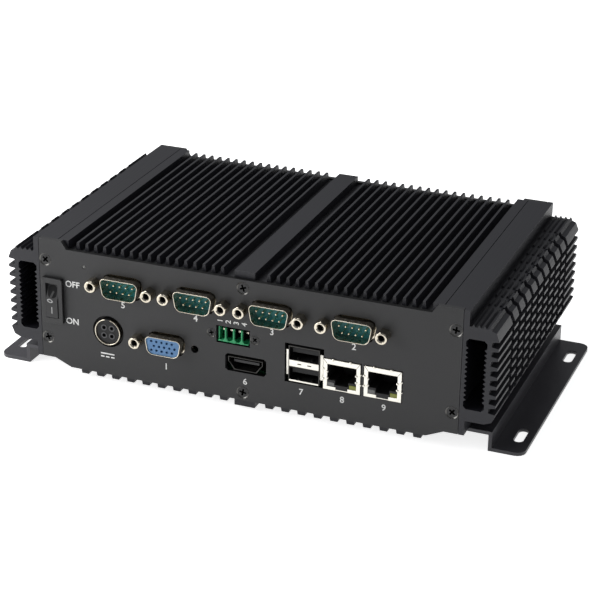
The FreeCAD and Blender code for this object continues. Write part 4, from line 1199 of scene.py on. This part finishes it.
def rockerMarks(values):
    bm = bmesh.new()
    x, y, z = rockerRidge(values)
    width, height = values["ringWidth"] / 2, values["ringHeight"] / 2
    outer = [(width * u, height * v) for u, v in circlePoints(0, 0, 1, values["ringSides"])]
    share = 1 - values["stroke"] / height
    ring = toMesh(perforated(outer, [[(u * share, v * share) for u, v in outer]],
                             values["markDepth"]))
    bar = slab(values["bar"], values["markDepth"], 0.15, 3)
    stamp(bm, ring, onFront(x + values["ringShift"], z - values["ringDrop"],
                            y - values["proud"], values["ringTurn"]))
    stamp(bm, bar, onFront(x, z - values["barDrop"], y - values["proud"]))
    return bm


def rockerShadePatch(values):
    # Painted shade: a dark plate on the half that leans inwards, where the bezel shades the sunken
    # rocker, with a tongue of the rocker's own plastic left lighter where light reaches.
    width, height = values["hollow"]
    x, y, z = rockerRidge(values)
    lean, rise = math.radians(2 * values["tilt"]), values["hollowRise"]
    bm = plate(rectangle(width, height), values["hollowDepth"], width * 0.45, 6)
    tongue = plate(rectangle(*values["tongue"]), values["hollowDepth"],
                   values["tongue"][0] * 0.45, 4)
    for face in tongue.faces:
        face.material_index = 1
    stamp(bm, toMesh(tongue),
          Matrix.Translation((0, -values["tongueDrop"], values["tongueProud"]))
          @ turnBy(values["tongueTurn"], "Z"))
    place = onFront(x, z + rise * math.cos(lean), y + rise * math.sin(lean) - values["proud"])
    return moved(bm, place @ Matrix.Rotation(-lean, 4, "X"))


finishPiece("rockerShadePatch", rockerShadePatch(rockerSwitch), ("paintedShade", "blackPlastic"),
            body="power_rocker", slotName="black_plastic")
finishPiece("rockerMarks", rockerMarks(rockerSwitch), "markInk", body="power_rocker",
            slotName="white_plastic")
lampSpot = centre("indicator_lamp")
lens = moved(turned(panelLamp["profile"], panelLamp["sides"]),
             onFront(lampSpot.x, lampSpot.z, frontFace))
finishPiece("panelLamp", lens, "clearLamp", stands=("indicator_lamp",))
print("rocker and lamp made")


# Printed lettering, all of it generic.
lettering = {
    "capHeight": 2.75, "smallCap": 2.3, "thickness": 0.03, "boldness": 0.015,
    "words": (("OFF", -75.6, 43.2), ("ON", -76.2, 26.6), ("5", -52.8, 38.0),
              ("4", -20.5, 38.0), ("3", 12.5, 38.0), ("2", 47.0, 38.0),
              ("1", -33.8, 14.0), ("6", 1.1, 13.9), ("7", 25.3, 14.0),
              ("8", 42.6, 14.0), ("9", 60.0, 14.0)),
    "turnedWords": (("1", -9.8, 39.0), ("2", -6.3, 39.0), ("3", -2.8, 39.0), ("4", 0.7, 39.0)),
    "supply": (-60.4, 14.0), "supplyRise": 0.7, "bar": (6.2, 0.6), "dash": (1.6, 0.6),
    "dashPitch": 2.3,
}


def wordMesh(text, boldness):
    # The word one unit high, its middle at the origin.
    curve = bpy.data.curves.new("word", "FONT")
    curve.body = text
    curve.offset = boldness
    curve.align_x, curve.align_y = "CENTER", "CENTER"
    holder = bpy.data.objects.new("word", curve)
    bpy.context.scene.collection.objects.link(holder)
    graph = bpy.context.evaluated_depsgraph_get()
    mesh = bpy.data.meshes.new_from_object(holder.evaluated_get(graph))
    bpy.data.objects.remove(holder)
    bpy.data.curves.remove(curve)
    across = [vert.co.x for vert in mesh.vertices]
    up = [vert.co.y for vert in mesh.vertices]
    mesh.transform(Matrix.Scale(1 / (max(up) - min(up)), 4) @ Matrix.Translation(
        (-(max(across) + min(across)) / 2, -(max(up) + min(up)) / 2, 0)))
    return mesh


def printWords(values):
    bm = bmesh.new()
    level = frontFace - values["thickness"]
    words = [(*word, values["capHeight"], 0) for word in values["words"]]
    words += [(*word, values["smallCap"], 90) for word in values["turnedWords"]]
    for text, x, z, size, turn in words:
        flat = bmesh.new()
        flat.from_mesh(wordMesh(text, values["boldness"]))
        bmesh.ops.remove_doubles(flat, verts=flat.verts[:], dist=1e-5)
        for face in flat.faces:
            faceOutwards(face)
        deepened(flat, flat.faces[:], values["thickness"] / size)
        stamp(bm, toMesh(flat), onFront(x, z, level, turn) @ Matrix.Scale(size, 4))
    x, z = values["supply"]
    stamp(bm, slab(values["bar"], values["thickness"]),
          onFront(x, z + values["supplyRise"], level))
    dash = slab(values["dash"], values["thickness"])
    for step in (-1, 0, 1):
        stamp(bm, dash, onFront(x + values["dashPitch"] * step, z - values["supplyRise"], level))
    return bm


finishPiece("panelLettering", printWords(lettering), "printInk", slotName="white_plastic")
print("lettering printed")
